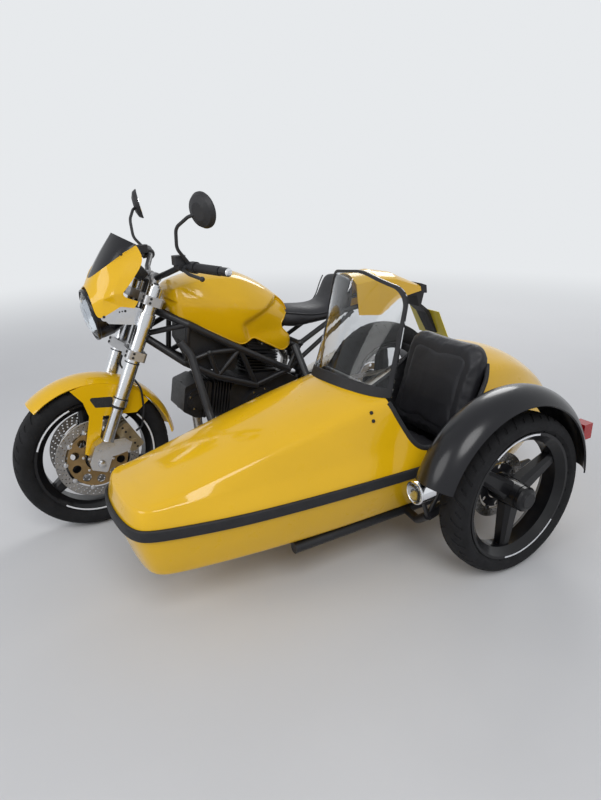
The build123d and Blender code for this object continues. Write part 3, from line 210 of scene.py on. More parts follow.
FINISHES = {
    "yellow_paint": dict(colour=YELLOW, rough=0.32, coat=0.8, shade=0.03, patch=4, grain=0.04, grain_scale=900,
                         grain_depth=0.0002, gleam=0.1, coat_rough=0.09),
    "black_gloss": dict(colour=(0.005, 0.005, 0.007), rough=0.3, coat=0.45, shade=0.1, patch=4, rough_spread=0.03,
                        gleam=0.15, coat_rough=0.16),
    "black_paint": dict(colour=BLACK, rough=0.38, shade=0.25, patch=14, grain=0.1, grain_scale=700, gleam=0.4),
    "black_wheel": dict(colour=(0.006, 0.006, 0.007), rough=0.34, coat=0.35, shade=0.3, patch=12, grain=0.04,
                        gleam=0.15, coat_rough=0.1),
    "black_plastic": dict(colour=(0.016, 0.016, 0.018), rough=0.55, shade=0.2, patch=20, grain=0.25,
                          grain_scale=1100, gleam=0.4),
    "tyre_rubber": dict(colour=(0.009, 0.009, 0.01), rough=0.78, shade=0.35, patch=22, grain=0.3, grain_scale=500,
                        gleam=0.25),
    "rubber": dict(colour=(0.015, 0.015, 0.017), rough=0.62, shade=0.2, patch=25, grain=0.2, grain_scale=700,
                   gleam=0.35),
    "vinyl": dict(colour=(0.014, 0.014, 0.017), rough=0.5, shade=0.2, patch=12, grain=0.35, grain_scale=650,
                  leather=True, gleam=0.4),
    "disc_steel": dict(colour=(0.34, 0.33, 0.32), rough=0.34, metal=1.0, shade=0.2, patch=16, grain=0.12,
                       grain_scale=180, stretch=(1, 0.1, 1)),
    "carrier_bronze": dict(colour=(0.30, 0.20, 0.09), rough=0.42, metal=0.8, shade=0.2, patch=18, grain=0.1),
    "caliper_gold": dict(colour=(0.33, 0.27, 0.17), rough=0.4, metal=0.7, shade=0.2, patch=22, grain=0.2),
    "silver_alloy": dict(colour=(0.62, 0.63, 0.65), rough=0.24, metal=1.0, shade=0.05, patch=6, rough_spread=0.04),
    "chrome": dict(colour=(0.82, 0.83, 0.85), rough=0.08, metal=1.0, shade=0.04, patch=9, rough_spread=0.03),
    "cast_alloy": dict(colour=(0.42, 0.42, 0.43), rough=0.42, metal=0.95, shade=0.08, patch=9, grain=0.1,
                       grain_scale=900),
    "engine_black": dict(colour=(0.018, 0.018, 0.02), rough=0.46, metal=0.3, shade=0.4, patch=18, grain=0.35,
                         grain_scale=380),
    "chain_steel": dict(colour=(0.30, 0.27, 0.22), rough=0.42, metal=1.0, shade=0.4, patch=60, grain=0.2),
    "exhaust_steel": dict(colour=(0.50, 0.48, 0.45), rough=0.3, metal=1.0, shade=0.2, patch=10, grain=0.08),
    "plate_blank": dict(colour=(0.75, 0.62, 0.05), rough=0.35, coat=0.4, shade=0.08, patch=20),
    "red_lens": dict(colour=(0.36, 0.004, 0.005), rough=0.16, coat=0.4, shade=0.1, patch=40),
    "reflective_white": dict(colour=(0.75, 0.76, 0.78), rough=0.3, coat=0.5, shade=0.06, patch=50),
    "mesh_black": dict(colour=(0.01, 0.01, 0.011), rough=0.6, shade=0.3, patch=30, grain=1.0, grain_scale=260,
                       grain_depth=0.002, leather=True),
    "mirror_glass": dict(colour=(0.9, 0.91, 0.93), rough=0.04, metal=1.0, shade=0.02, patch=5, rough_spread=0.01),
    "carpet": dict(colour=(0.03, 0.03, 0.033), rough=0.9, shade=0.4, patch=60, grain=0.8, grain_scale=900),
}
GLASSES = {
    "clear_screen": dict(colour=(0.81, 0.83, 0.84), rough=0.02, ior=1.3),
    "lamp_lens": dict(colour=(0.80, 0.86, 0.92), rough=0.03, ior=1.45),
}
MATERIALS = {name: finish(name, **values) for name, values in FINISHES.items()}
MATERIALS.update({name: clear(name, **values) for name, values in GLASSES.items()})

FINISH_NODES = {
    "tyre_rubber": "front_tyre rear_tyre sidecar_tyre",
    "black_wheel": "front_rim rear_rim sidecar_rim",
    "disc_steel": "front_discs rear_disc sidecar_disc",
    "chain_steel": "rear_sprocket drive_chain",
    "silver_alloy": "front_axle rear_axle fork_tubes fork_sliders lamp_brackets footrests",
    "caliper_gold": "front_calipers",
    "cast_alloy": "lower_yoke top_yoke",
    "black_paint": "handlebar frame_left frame_right frame_head subframe swingarm rear_shock grab_handle"
                   " chassis_rails chassis_crossbars sidecar_arm sidecar_struts",
    "rubber": "grips belt_trim screen_trim",
    "black_plastic": "controls mirrors instruments airbox tail_carrier",
    "black_gloss": "headlight_shell fly_screen sidecar_mudguard",
    "lamp_lens": "headlight_lens",
    "yellow_paint": "nose_fairing front_mudguard fuel_tank tail_cowl hull_lower hull_upper",
    "engine_black": "engine_cases front_cylinder rear_cylinder",
    "vinyl": "rider_seat sidecar_seat cockpit_roll",
    "plate_blank": "number_plate",
    "exhaust_steel": "exhaust_system",
    "clear_screen": "windscreen",
    "chrome": "sidecar_lamps",
}
NODE_FINISH = {node: finish_name for finish_name, nodes in FINISH_NODES.items() for node in nodes.split()}


def dress_nodes():
    for name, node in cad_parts.items():
        node.data.materials.clear()
        node.data.materials.append(MATERIALS[NODE_FINISH[name]])
    part_finish("lower_yoke", "rubber", lambda place: (place - on_fork(HOSES_BELOW)).dot(STEER_UP) < 0)
    part_finish("sidecar_lamps", "red_lens", lambda place: place.x < 200)


def part_finish(name, finish_name, chosen):
    """Gives the faces of a node that lie in a chosen place a finish of their own."""
    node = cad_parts[name]
    node.data.materials.append(MATERIALS[finish_name])
    for face in node.data.polygons:
        if chosen((node.matrix_world @ face.center - BASE) * 1000):
            face.material_index = 1


# Modelling helpers: shapes are drawn in millimetres and set into the frame when they are finished


def chain(bm, points, closed=False):
    """Points joined by edges, in a ring or an open row."""
    verts = [bm.verts.new(Vector(point)) for point in points]
    pairs = list(zip(verts, verts[1:])) + ([(verts[-1], verts[0])] if closed else [])
    return [bm.edges.new(pair) for pair in pairs]


def skin(bm, rows, closed=False):
    """Each row of points is bridged to the next."""
    chains = [chain(bm, row, closed) for row in rows]
    for low, high in zip(chains, chains[1:]):
        bmesh.ops.bridge_loops(bm, edges=low + high)
    return chains


def creased():
    """A bmesh whose edges can be creased."""
    bm = bmesh.new()
    bm.edges.layers.float.new("crease_edge")
    return bm


def crease(bm, edges, amount):
    layer = bm.edges.layers.float["crease_edge"]
    for edge in edges:
        edge[layer] = amount


def mirrored(bm, merge=0.01):
    bmesh.ops.mirror(bm, geom=bm.verts[:] + bm.edges[:] + bm.faces[:], axis="Y", merge_dist=merge)


def open_edges(bm):
    return [edge for edge in bm.edges if edge.is_boundary]


def draw_out(bm, outline, way):
    """Closes an outline to a face and draws it out along a way, to a closed block."""
    faces = bmesh.ops.contextual_create(bm, geom=chain(bm, outline, closed=True))["faces"]
    grown = bmesh.ops.extrude_face_region(bm, geom=faces, use_keep_orig=True)["geom"]
    bmesh.ops.translate(bm, vec=Vector(way), verts=[item for item in grown if isinstance(item, bmesh.types.BMVert)])


def link(mesh, finish_name, body, hides):
    piece = new_object(mesh.name, mesh)
    mesh.materials.append(MATERIALS[finish_name])
    if body:
        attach(piece, body)
    if hides:
        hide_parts(*hides)
    return piece


def smoothed(mesh, angle):
    """Shades a mesh smooth but for the edges sharper than an angle in degrees."""
    mesh.shade_smooth()
    mesh.set_sharp_from_angle(angle=radians(angle))


def end_piece(bm, name, finish_name, body=None, centre=(0, 0, 0), smooth=40, turn=None, hides=()):
    """Ends a bmesh: its faces point outwards, its place is in its mesh, and it rides on its body."""
    bmesh.ops.remove_doubles(bm, verts=bm.verts[:], dist=0.001)
    bmesh.ops.recalc_face_normals(bm, faces=bm.faces[:])
    if turn:
        bmesh.ops.transform(bm, matrix=turn.to_4x4(), verts=bm.verts[:])
    bmesh.ops.scale(bm, vec=(0.001,) * 3, verts=bm.verts[:])
    bmesh.ops.translate(bm, vec=at(*centre), verts=bm.verts[:])
    mesh = bpy.data.meshes.new(name)
    bm.to_mesh(mesh)
    bm.free()
    smoothed(mesh, smooth)
    return link(mesh, finish_name, body, hides)


def add(piece, kind, **values):
    modifier = piece.modifiers.new(kind.lower(), kind)
    for key, value in values.items():
        setattr(modifier, key, value)
    return modifier


def subdivide(piece, levels):
    add(piece, "SUBSURF", levels=levels, render_levels=levels)


def settle(piece, smooth=40):
    """Applies a piece's modifiers to its mesh."""
    bpy.context.view_layer.update()
    graph = bpy.context.evaluated_depsgraph_get()
    mesh = bpy.data.meshes.new_from_object(piece.evaluated_get(graph))
    old = piece.data
    piece.modifiers.clear()
    piece.data = mesh
    bpy.data.meshes.remove(old)
    mesh.name = piece.name
    smoothed(mesh, smooth)


def walled(piece, levels, wall, smooth=40, **more):
    """Subdivides a sheet and gives it its wall on the inner side."""
    subdivide(piece, levels)
    add(piece, "SOLIDIFY", thickness=wall, offset=-1, **more)
    settle(piece, smooth)


def search_tree(piece):
    mesh = piece.data
    return BVHTree.FromPolygons([vert.co for vert in mesh.vertices], [face.vertices for face in mesh.polygons])


def cut(piece, cutter, smooth=40):
    add(piece, "BOOLEAN", object=cutter, operation="DIFFERENCE", solver="EXACT")
    settle(piece, smooth)
    mesh = cutter.data
    bpy.data.objects.remove(cutter)
    bpy.data.meshes.remove(mesh)


def prism(points, axis, low, high, centre=(0, 0, 0)):
    """A cutter: an outline in the plane square to an axis, drawn out along it."""
    place = {"Y": lambda a, b, c: (a, c, b), "Z": lambda a, b, c: (a, b, c)}[axis]
    bm = bmesh.new()
    draw_out(bm, [place(a, b, low) for a, b in points], place(0, 0, high - low))
    return end_piece(bm, "cutter", "rubber", centre=centre)


def pipe(name, points, radius, finish_name, body, hides=(), sides=3):
    """A round bar or hose along one smooth line."""
    curve = bpy.data.curves.new(name, "CURVE")
    curve.dimensions = "3D"
    spline = curve.splines.new("NURBS")
    spline.points.add(len(points) - 1)
    for knot, point in zip(spline.points, points):
        knot.co = (*at(*point), 1)
    spline.order_u = 3
    spline.use_endpoint_u = True
    curve.resolution_u = 6
    curve.bevel_depth = radius / 1000
    curve.bevel_resolution = sides
    curve.use_fill_caps = True
    line = new_object(name, curve)
    bpy.context.view_layer.update()
    mesh = bpy.data.meshes.new_from_object(line.evaluated_get(bpy.context.evaluated_depsgraph_get()))
    bpy.data.objects.remove(line)
    bpy.data.curves.remove(curve)
    mesh.name = name
    mesh.materials.clear()
    smoothed(mesh, 50)
    return link(mesh, finish_name, body, hides)


def lathe(bm, profile, steps, axis=(0, 1, 0), closed=False):
    """Spins a profile of (radius, along) about an axis through the origin."""
    along = Vector(axis)
    out = Vector((1, 0, 0)) if abs(along.x) < 0.9 else Vector((0, 0, 1))
    edges = chain(bm, [out * radius + along * place for radius, place in profile], closed)
    verts = list({vert for edge in edges for vert in edge.verts})
    bmesh.ops.spin(bm, geom=verts + edges, cent=(0, 0, 0), axis=axis, angle=2 * pi, steps=steps, use_merge=True)


def turned_piece(name, profile, steps, axis, finish_name, body, centre, smooth, turn=None, closed=False):
    bm = bmesh.new()
    lathe(bm, profile, steps, axis, closed)
    return end_piece(bm, name, finish_name, body, centre, smooth, turn)


def round_ring(radius, count, shift=0.0):
    """Places evenly round a circle square to Y, as (x, z)."""
    angles = [2 * pi * (number + shift) / count for number in range(count)]
    return [(radius * cos(angle), radius * sin(angle)) for angle in angles]


def knob(bm, place, radius, height, axis=(0, 1, 0), sides=6, bevel=0.6):
    """A bolt head or pin end, drawn out along an axis from its place."""
    made = bmesh.ops.create_cone(bm, cap_ends=True, segments=sides, radius1=radius, radius2=radius, depth=height)
    verts = made["verts"]
    edges = list({edge for vert in verts for edge in vert.link_edges})
    far = [edge for edge in edges if all(vert.co.z > 0 for vert in edge.verts)]
    bevelled = bmesh.ops.bevel(bm, geom=far, offset=bevel, segments=2, profile=0.5, affect="EDGES", material=-1)
    verts = list({vert for vert in verts + bevelled["verts"] if vert.is_valid})
    turn = Vector(axis).to_track_quat("Z", "Y").to_matrix().to_4x4()
    bmesh.ops.translate(bm, vec=(0, 0, height / 2), verts=verts)
    bmesh.ops.transform(bm, matrix=Matrix.Translation(Vector(place)) @ turn, verts=verts)


def both(bm_maker, name, finish_name, body):
    """One mesh for the left side and its mirror image."""
    bm = bmesh.new()
    bm_maker(bm)
    mirrored(bm, -1)
    return end_piece(bm, name, finish_name, body, smooth=35)


CLOTH_VOXEL = 0.006
CLOTH_FRAMES = 20


def swell(piece, pressure, cap):
    """Fills a pad: an even remesh, then cloth that is blown up a little, and no point moves past the cap."""
    add(piece, "REMESH", mode="VOXEL", voxel_size=CLOTH_VOXEL)
    settle(piece, 60)
    start = [vert.co.copy() for vert in piece.data.vertices]
    cloth = piece.modifiers.new("cloth", "CLOTH")
    cloth.settings.use_pressure = True
    cloth.settings.uniform_pressure_force = pressure
    cloth.settings.effector_weights.gravity = 0
    cloth.point_cache.frame_start = 1
    cloth.point_cache.frame_end = CLOTH_FRAMES
    for number in range(1, CLOTH_FRAMES + 1):
        bpy.context.scene.frame_set(number)
    graph = bpy.context.evaluated_depsgraph_get()
    blown = [vert.co.copy() for vert in piece.evaluated_get(graph).data.vertices]
    piece.modifiers.clear()
    bpy.context.scene.frame_set(1)
    for vert, low, high in zip(piece.data.vertices, start, blown):
        step = high - low
        vert.co = low + step * min(1.0, cap / max(step.length, 1e-6))
    add(piece, "SMOOTH", factor=0.5, iterations=4)
    subdivide(piece, 1)
    settle(piece, 60)


# Sidecar hull, drawn from its own middle plane: one row a station, from the nose to the tail

SIDECAR_Y = 660
HULL_MIDDLE = (0, SIDECAR_Y, 0)
HULL_WALL = 0.004
BELT_Z = 382
Station = namedtuple("Station", "belt_x belt_y shoulder_x shoulder_y shoulder_z ridge_x ridge_y ridge_z "
                                "crown_x crown_z bilge_x bilge_y")
HULL_STATIONS = [
    (1515, 0, 1499, 0, 448, 1468, 0, 462, 1446, 469, 1466, 0),
    (1512, 70, 1496, 68, 448, 1465, 64, 462, 1444, 469, 1464, 60),
    (1502, 130, 1486, 125, 448, 1457, 112, 461, 1438, 470, 1457, 104),
    (1482, 168, 1468, 160, 448, 1442, 140, 460, 1426, 472, 1440, 134),
    (1440, 190, 1430, 178, 449, 1410, 154, 464, 1398, 482, 1400, 152),
    (1300, 224, 1292, 196, 451, 1276, 170, 494, 1272, 520, 1280, 172),
    (1181, 246, 1168, 208, 454, 1150, 184, 524, 1150, 564, 1160, 188),
    (1000, 264, 995, 223, 456, 990, 191, 560, 990, 604, 1000, 204),
    (845, 275, 842, 237, 457, 838, 198, 595, 838, 637, 845, 212),
    (700, 283, 698, 250, 459, 696, 203, 618, 696, 665, 700, 215),
    (549, 289, 548, 262, 460, 546, 207, 640, 546, 692, 549, 215),
    (400, 290, 400, 266, 462, 400, 208, 656, 400, 710, 400, 214),
    (200, 282, 200, 258, 464, 200, 201, 662, 200, 714, 200, 206),
    (20, 254, 22, 230, 462, 26, 180, 632, 30, 688, 60, 186),
    (-130, 212, -126, 190, 454, -116, 150, 572, -108, 622, -60, 150),
    (-260, 156, -252, 136, 436, -236, 104, 498, -224, 540, -160, 104),
    (-348, 84, -338, 72, 412, -318, 54, 446, -300, 470, -222, 56),
    (-385, 0, -374, 0, 404, -350, 0, 430, -330, 446, -244, 0),
]
UPPER_ROWS = [
    lambda s: (s.belt_x, s.belt_y, BELT_Z - 2),
    lambda s: (0.8 * s.belt_x + 0.2 * s.shoulder_x, 0.85 * s.belt_y + 0.15 * s.shoulder_y, BELT_Z + 14),
    lambda s: (s.shoulder_x + 2, s.shoulder_y + (2 if s.shoulder_y else 0), s.shoulder_z - 5),
    lambda s: (0.85 * s.shoulder_x + 0.15 * s.ridge_x, 0.88 * s.shoulder_y + 0.12 * s.ridge_y,
               0.9 * s.shoulder_z + 0.1 * s.ridge_z + 3),
    lambda s: (0.4 * s.shoulder_x + 0.6 * s.ridge_x, 0.4 * s.shoulder_y + 0.6 * s.ridge_y,
               0.4 * s.shoulder_z + 0.6 * s.ridge_z),
    lambda s: (s.ridge_x, s.ridge_y, s.ridge_z),
    lambda s: (0.4 * s.ridge_x + 0.6 * s.crown_x, 0.62 * s.ridge_y, 0.3 * s.ridge_z + 0.7 * s.crown_z),
    lambda s: (0.1 * s.ridge_x + 0.9 * s.crown_x, 0.3 * s.ridge_y, 0.08 * s.ridge_z + 0.92 * s.crown_z),
    lambda s: (s.crown_x, 0, s.crown_z),
]
LOWER_ROWS = [
    lambda s: (s.belt_x, s.belt_y, BELT_Z + 2),
    lambda s: (0.5 * s.belt_x + 0.5 * s.bilge_x, 0.5 * s.belt_y + 0.5 * s.bilge_y, 292),
    lambda s: (0.1 * s.belt_x + 0.9 * s.bilge_x, 0.1 * s.belt_y + 0.9 * s.bilge_y, 230),
    lambda s: (s.bilge_x - 3, max(s.bilge_y - 3, 0), 210),
    lambda s: (s.bilge_x - 20, 0.88 * s.bilge_y, 201),
    lambda s: (0.96 * s.bilge_x, 0.5 * s.bilge_y, 200),
    lambda s: (0.95 * s.bilge_x, 0, 200),
]
BELT_SECTION = [
    # height, how far it stands out from the belt
    (364, -1), (364, 5), (367, 7), (382, 7.5), (397, 7), (400, 5), (400, -2),
]
COCKPIT_SIDE = [
    (649, 900), (649, 640), (644, 616), (634, 596), (618, 560), (601, 525), (584, 492), (566, 468), (546, 454),
    (525, 447), (500, 445), (470, 446), (441, 450), (412, 459), (387, 471), (345, 494), (300, 521), (260, 554),
    (225, 590), (196, 624), (172, 658), (158, 690), (150, 740), (148, 900),
]
FOOT_PLAN = [(560, -176), (560, 176), (632, 176), (672, 150), (710, 118), (736, 66), (746, 0), (736, -66),
             (710, -118), (672, -150), (632, -176)]


def hull_rows(picks):
    return [[pick(Station(*row)) for row in HULL_STATIONS] for pick in picks]


def outward(row, amount):
    """A row of plan points moved out by an amount, square to the line through its neighbours."""
    ends = [Vector(row[0]) * 2 - Vector(row[1])] + [Vector(point) for point in row]
    ends += [Vector(row[-1]) * 2 - Vector(row[-2])]
    ends[0].y = -row[1][1]
    ends[-1].y = -row[-2][1]
    ends[0].x = row[1][0]
    ends[-1].x = row[-2][0]
    moved = []
    for before, here, after in zip(ends, ends[1:], ends[2:]):
        way = (after - before).normalized()
        moved.append(here + Vector((-way.y, way.x, 0)) * -amount)
    return moved


def hull_shell(bm, name, node):
    """Half a hull moulding made whole, lined with carpet and given its wall."""
    mirrored(bm)
    shell = end_piece(bm, name, "yellow_paint", "chassis", HULL_MIDDLE, hides=[node])
    shell.data.materials.append(MATERIALS["carpet"])
    walled(shell, 2, HULL_WALL, material_offset=1)
    return shell


def make_hull():
    bm = creased()
    rows = skin(bm, hull_rows(UPPER_ROWS))
    crease(bm, rows[3], 0.75)
    crease(bm, rows[5], 0.3)
    upper = hull_shell(bm, "hull_shell_upper", "hull_upper")
    tree = search_tree(upper)
    cut(upper, prism(COCKPIT_SIDE, "Y", -400, 400, HULL_MIDDLE))
    cut(upper, prism(FOOT_PLAN, "Z", 540, 900, HULL_MIDDLE))

    bm = bmesh.new()
    skin(bm, hull_rows(LOWER_ROWS))
    hull_shell(bm, "hull_shell_lower", "hull_lower")

    belt = hull_rows([lambda s: (s.belt_x, s.belt_y, 0)])[0]
    bm = bmesh.new()
    rims = []
    for height, proud in BELT_SECTION:
        rims.append([(point.x, max(point.y, 0), height) for point in outward(belt, proud)])
    skin(bm, rims)
    mirrored(bm)
    trim = end_piece(bm, "belt_rubber", "rubber", "chassis", HULL_MIDDLE, hides=["belt_trim"], smooth=30)
    subdivide(trim, 2)
    return tree


def on_hull(tree, x, z, side):
    """The hull's surface beside a point of its middle plane."""
    start = at(x, SIDECAR_Y + side * 500, z)
    hit = tree.ray_cast(start, Vector((0, -side, 0)))[0]
    return (hit - BASE) * 1000


def make_cockpit_edge(tree):
    for name, side in (("left", 1), ("right", -1)):
        line = [on_hull(tree, x, z, side) for x, z in COCKPIT_SIDE[2:-3]]
        pipe(f"cockpit_edge_{name}", [point - Vector((0, side * 2, 0)) for point in line], 8.5, "rubber", "chassis",
             hides=["cockpit_roll"])


# Seats

SEAT_BACK_FOOT = (303, 348)
SEAT_BACK_HEAD = (186, 730)
SEAT_BACK_HALF = 199
SEAT_BACK_DEEP = 52


def rounded_pad(half, tall, deep, corner, dome):
    """A crowned pad standing on its lower edge: X is its depth, Y its width and Z its height."""
    bm = bmesh.new()
    bmesh.ops.create_cube(bm, size=1)
    bmesh.ops.scale(bm, vec=(deep, 2 * half, tall), verts=bm.verts[:])
    bmesh.ops.translate(bm, vec=(0, 0, tall / 2), verts=bm.verts[:])
    upright = [edge for edge in bm.edges if abs(edge.verts[0].co.x - edge.verts[1].co.x) > 1]
    bmesh.ops.bevel(bm, geom=upright, offset=corner, segments=6, profile=0.5, affect="EDGES", material=-1)
    rims = [edge for edge in bm.edges if edge.is_manifold and edge.calc_face_angle() > 1.2]
    bmesh.ops.bevel(bm, geom=rims, offset=deep * 0.32, segments=4, profile=0.5, affect="EDGES", material=-1)
    bmesh.ops.triangulate(bm, faces=[face for face in bm.faces if len(face.verts) > 4])
    bmesh.ops.subdivide_edges(bm, edges=[edge for edge in bm.edges if edge.calc_length() > 60], cuts=2,
                              use_grid_fill=True)
    for vert in bm.verts:
        if vert.co.x > 0:
            across = min(1.0, abs(vert.co.y) / half)
            up = min(1.0, abs(vert.co.z / tall - 0.5) * 2)
            vert.co.x += dome * (1 - across * across) * (1 - up * up)
    return bm


def leaned(foot, head):
    """Turns a pad that stands upright to lean from its foot to its head."""
    return Matrix.Rotation(-atan2(foot[0] - head[0], head[1] - foot[1]), 3, "Y")


def make_sidecar_seat():
    turn = leaned(SEAT_BACK_FOOT, SEAT_BACK_HEAD)
    length = sqrt((SEAT_BACK_FOOT[0] - SEAT_BACK_HEAD[0]) ** 2 + (SEAT_BACK_HEAD[1] - SEAT_BACK_FOOT[1]) ** 2)
    foot = (SEAT_BACK_FOOT[0] - 8, SIDECAR_Y, SEAT_BACK_FOOT[1])
    back = end_piece(rounded_pad(SEAT_BACK_HALF, length, SEAT_BACK_DEEP, 74, 10), "sidecar_seat_back", "vinyl",
                     "chassis", foot, 60, turn, hides=["sidecar_seat"])
    swell(back, 4, 0.012)

    panel_half, panel_tall, panel_foot = SEAT_BACK_HALF - 46, length - 96, 44
    inner = rounded_pad(panel_half, panel_tall, 26, 40, 14)
    bmesh.ops.translate(inner, vec=(SEAT_BACK_DEEP / 2 - 1, 0, panel_foot), verts=inner.verts[:])
    panel = end_piece(inner, "sidecar_seat_panel", "vinyl", "chassis", foot, 60, turn)
    swell(panel, 3, 0.006)

    cushion = rounded_pad(178, 300, 96, 40, 12)
    lying = Matrix.Rotation(radians(-84), 3, "Y")
    base = end_piece(cushion, "sidecar_seat_cushion", "vinyl", "chassis", (566, SIDECAR_Y, 258), 60, lying)
    swell(base, 4, 0.012)

    # A stitched line across the back, near the top third of its panel
    rows = bmesh.new()
    row_up = panel_tall * 0.72 + panel_foot
    count = 34
    for number in range(count):
        across = (number / (count - 1) - 0.5) * 2 * (SEAT_BACK_HALF - 62)
        drop = across / panel_half
        ahead = SEAT_BACK_DEEP / 2 + 18 + 11 * (1 - drop * drop)
        knob(rows, (ahead - 1.5, across, row_up), 1.1, 2.6, (1, 0, 0), sides=6, bevel=0.4)
    end_piece(rows, "seat_stitches", "carpet", "chassis", foot, 60, turn)


RIDER_ROWS = [
    # x, half width, low z, side z, top z
    (612, 52, 716, 752, 776),
    (585, 74, 708, 762, 788),
    (540, 92, 700, 756, 784),
    (470, 108, 704, 744, 772),
    (400, 114, 712, 742, 768),
    (345, 114, 716, 752, 778),
    (316, 112, 720, 790, 812),
    (300, 108, 730, 842, 862),
    (286, 100, 740, 874, 890),
    (256, 96, 740, 876, 890),
    (234, 92, 730, 850, 868),
]


def make_rider_seat():
    rows = []
    for x, half, low, side, top in RIDER_ROWS:
        rows.append([(x, 0, low), (x, half * 0.7, low), (x, half * 0.94, low + 6), (x, half, (low + side) / 2),
                     (x, half * 0.93, side), (x, half * 0.7, (side + 2 * top) / 3), (x, half * 0.35, top), (x, 0, top)])
    bm = bmesh.new()
    skin(bm, rows)
    mirrored(bm)
    bmesh.ops.holes_fill(bm, edges=open_edges(bm), sides=0)
    saddle = end_piece(bm, "rider_saddle", "vinyl", "chassis", hides=["rider_seat"], smooth=60)
    subdivide(saddle, 2)
    settle(saddle, 60)
    swell(saddle, 3, 0.006)
    for side in (1, -1):
        seam = [(x, side * half * 0.9, side_z + 3) for x, half, low, side_z, top in RIDER_ROWS[1:-2]]
        pipe(f"saddle_piping_{'left' if side > 0 else 'right'}", seam, 2.6, "vinyl", "chassis", sides=2)


# Wheels: tyres with their grooves, drilled discs and rim tape

WHEELS = {
    # x, y, radius, half width, body
    "front": (1430, 0, 298, 60, "front_wheel"),
    "rear": (0, 0, 315, 85, "rear_wheel"),
    "sidecar": (286, 1091, 288, 60, "sidecar_wheel"),
}
RIM_RADIUS = 216
TYRE_HALF = 60
TYRE_BEAD = [
    # out from the rim, and to the side of a tyre of that half width
    (3, 38), (15, 45), (22, 52),
]
TYRE_WALL = [
    # share of the wall's height below the tread's crown, and to the side
    (0.62, 57.5), (0.5, 59.6), (0.4, 59.8), (0.3, 58), (0.22, 54.5), (0.155, 49), (0.1, 42), (0.06, 34.5),
    (0.032, 26.5), (0.014, 18), (0.004, 9.5),
]
TREAD_STEPS = 132
GROOVE_DEEP = 3.2
TREAD_LEAN = radians(9)


def tyre_profile(radius, half):
    """Half a tyre's section, from its bead to the middle of its tread, as (radius, across)."""
    wall = radius - RIM_RADIUS
    side = half / TYRE_HALF
    section = [(RIM_RADIUS + up, across * side) for up, across in TYRE_BEAD]
    section += [(radius - share * wall, across * side) for share, across in TYRE_WALL]
    return section + [(radius - 0.3, 4 * side), (radius - 0.3, 0)]


def make_tyre(name, x, y, radius, half, body):
    profile = tyre_profile(radius, half)
    bm = bmesh.new()
    whole = profile + [(r, -across) for r, across in reversed(profile[:-1])]
    lathe(bm, whole, TREAD_STEPS)
    grooved = []
    for face in bm.faces:
        place = face.calc_center_median()
        column = round((atan2(place.z, place.x) % (2 * pi)) / (2 * pi) * TREAD_STEPS - 0.5)
        across = place.y / half
        lane = abs(across)
        side = 0 if across > 0 else 3
        long_groove = (column + side) % 6 == 0 and 0.2 < lane < 0.9
        short_groove = (column + side) % 6 == 3 and 0.42 < lane < 0.76
        if long_groove or short_groove:
            grooved.append(face)
    bmesh.ops.recalc_face_normals(bm, faces=bm.faces[:])
    bmesh.ops.inset_region(bm, faces=grooved, thickness=1.6, depth=0, use_even_offset=True)
    bmesh.ops.inset_region(bm, faces=grooved, thickness=0.8, depth=-GROOVE_DEEP, use_even_offset=True)
    for vert in bm.verts:
        lean = TREAD_LEAN * (abs(vert.co.y) / half) ** 0.8
        vert.co = Matrix.Rotation(lean, 3, "Y") @ vert.co
    end_piece(bm, f"{name}_tyre_tread", "tyre_rubber", body, (x, y, radius), 32, hides=[f"{name}_tyre"])


DISCS = [
    # name, wheel, y, outer and inner radius, carrier's radius, holes a row, arms, how proud its bobbins are, carrier
    ("front_left", "front", 58, 160, 124, 128, 40, 10, 1.0, "carrier_bronze"),
    ("front_right", "front", -58, 160, 124, 128, 40, 10, 1.0, "carrier_bronze"),
    ("rear", "rear", -92, 122, 90, 94, 32, 6, 0.45, "carrier_bronze"),
    ("sidecar", "sidecar", 1035, 120, 88, 92, 32, 6, 0.45, "black_paint"),
]
ROTOR_THICK = 5
CARRIER_BORE = 50
RIM_TAPES = [
    # wheel, y, spans in degrees
    ("front", 50.2, [(20, 70), (140, 190), (260, 310)]),
    ("sidecar", 1141.2, [(52, 104), (219, 283)]),
]


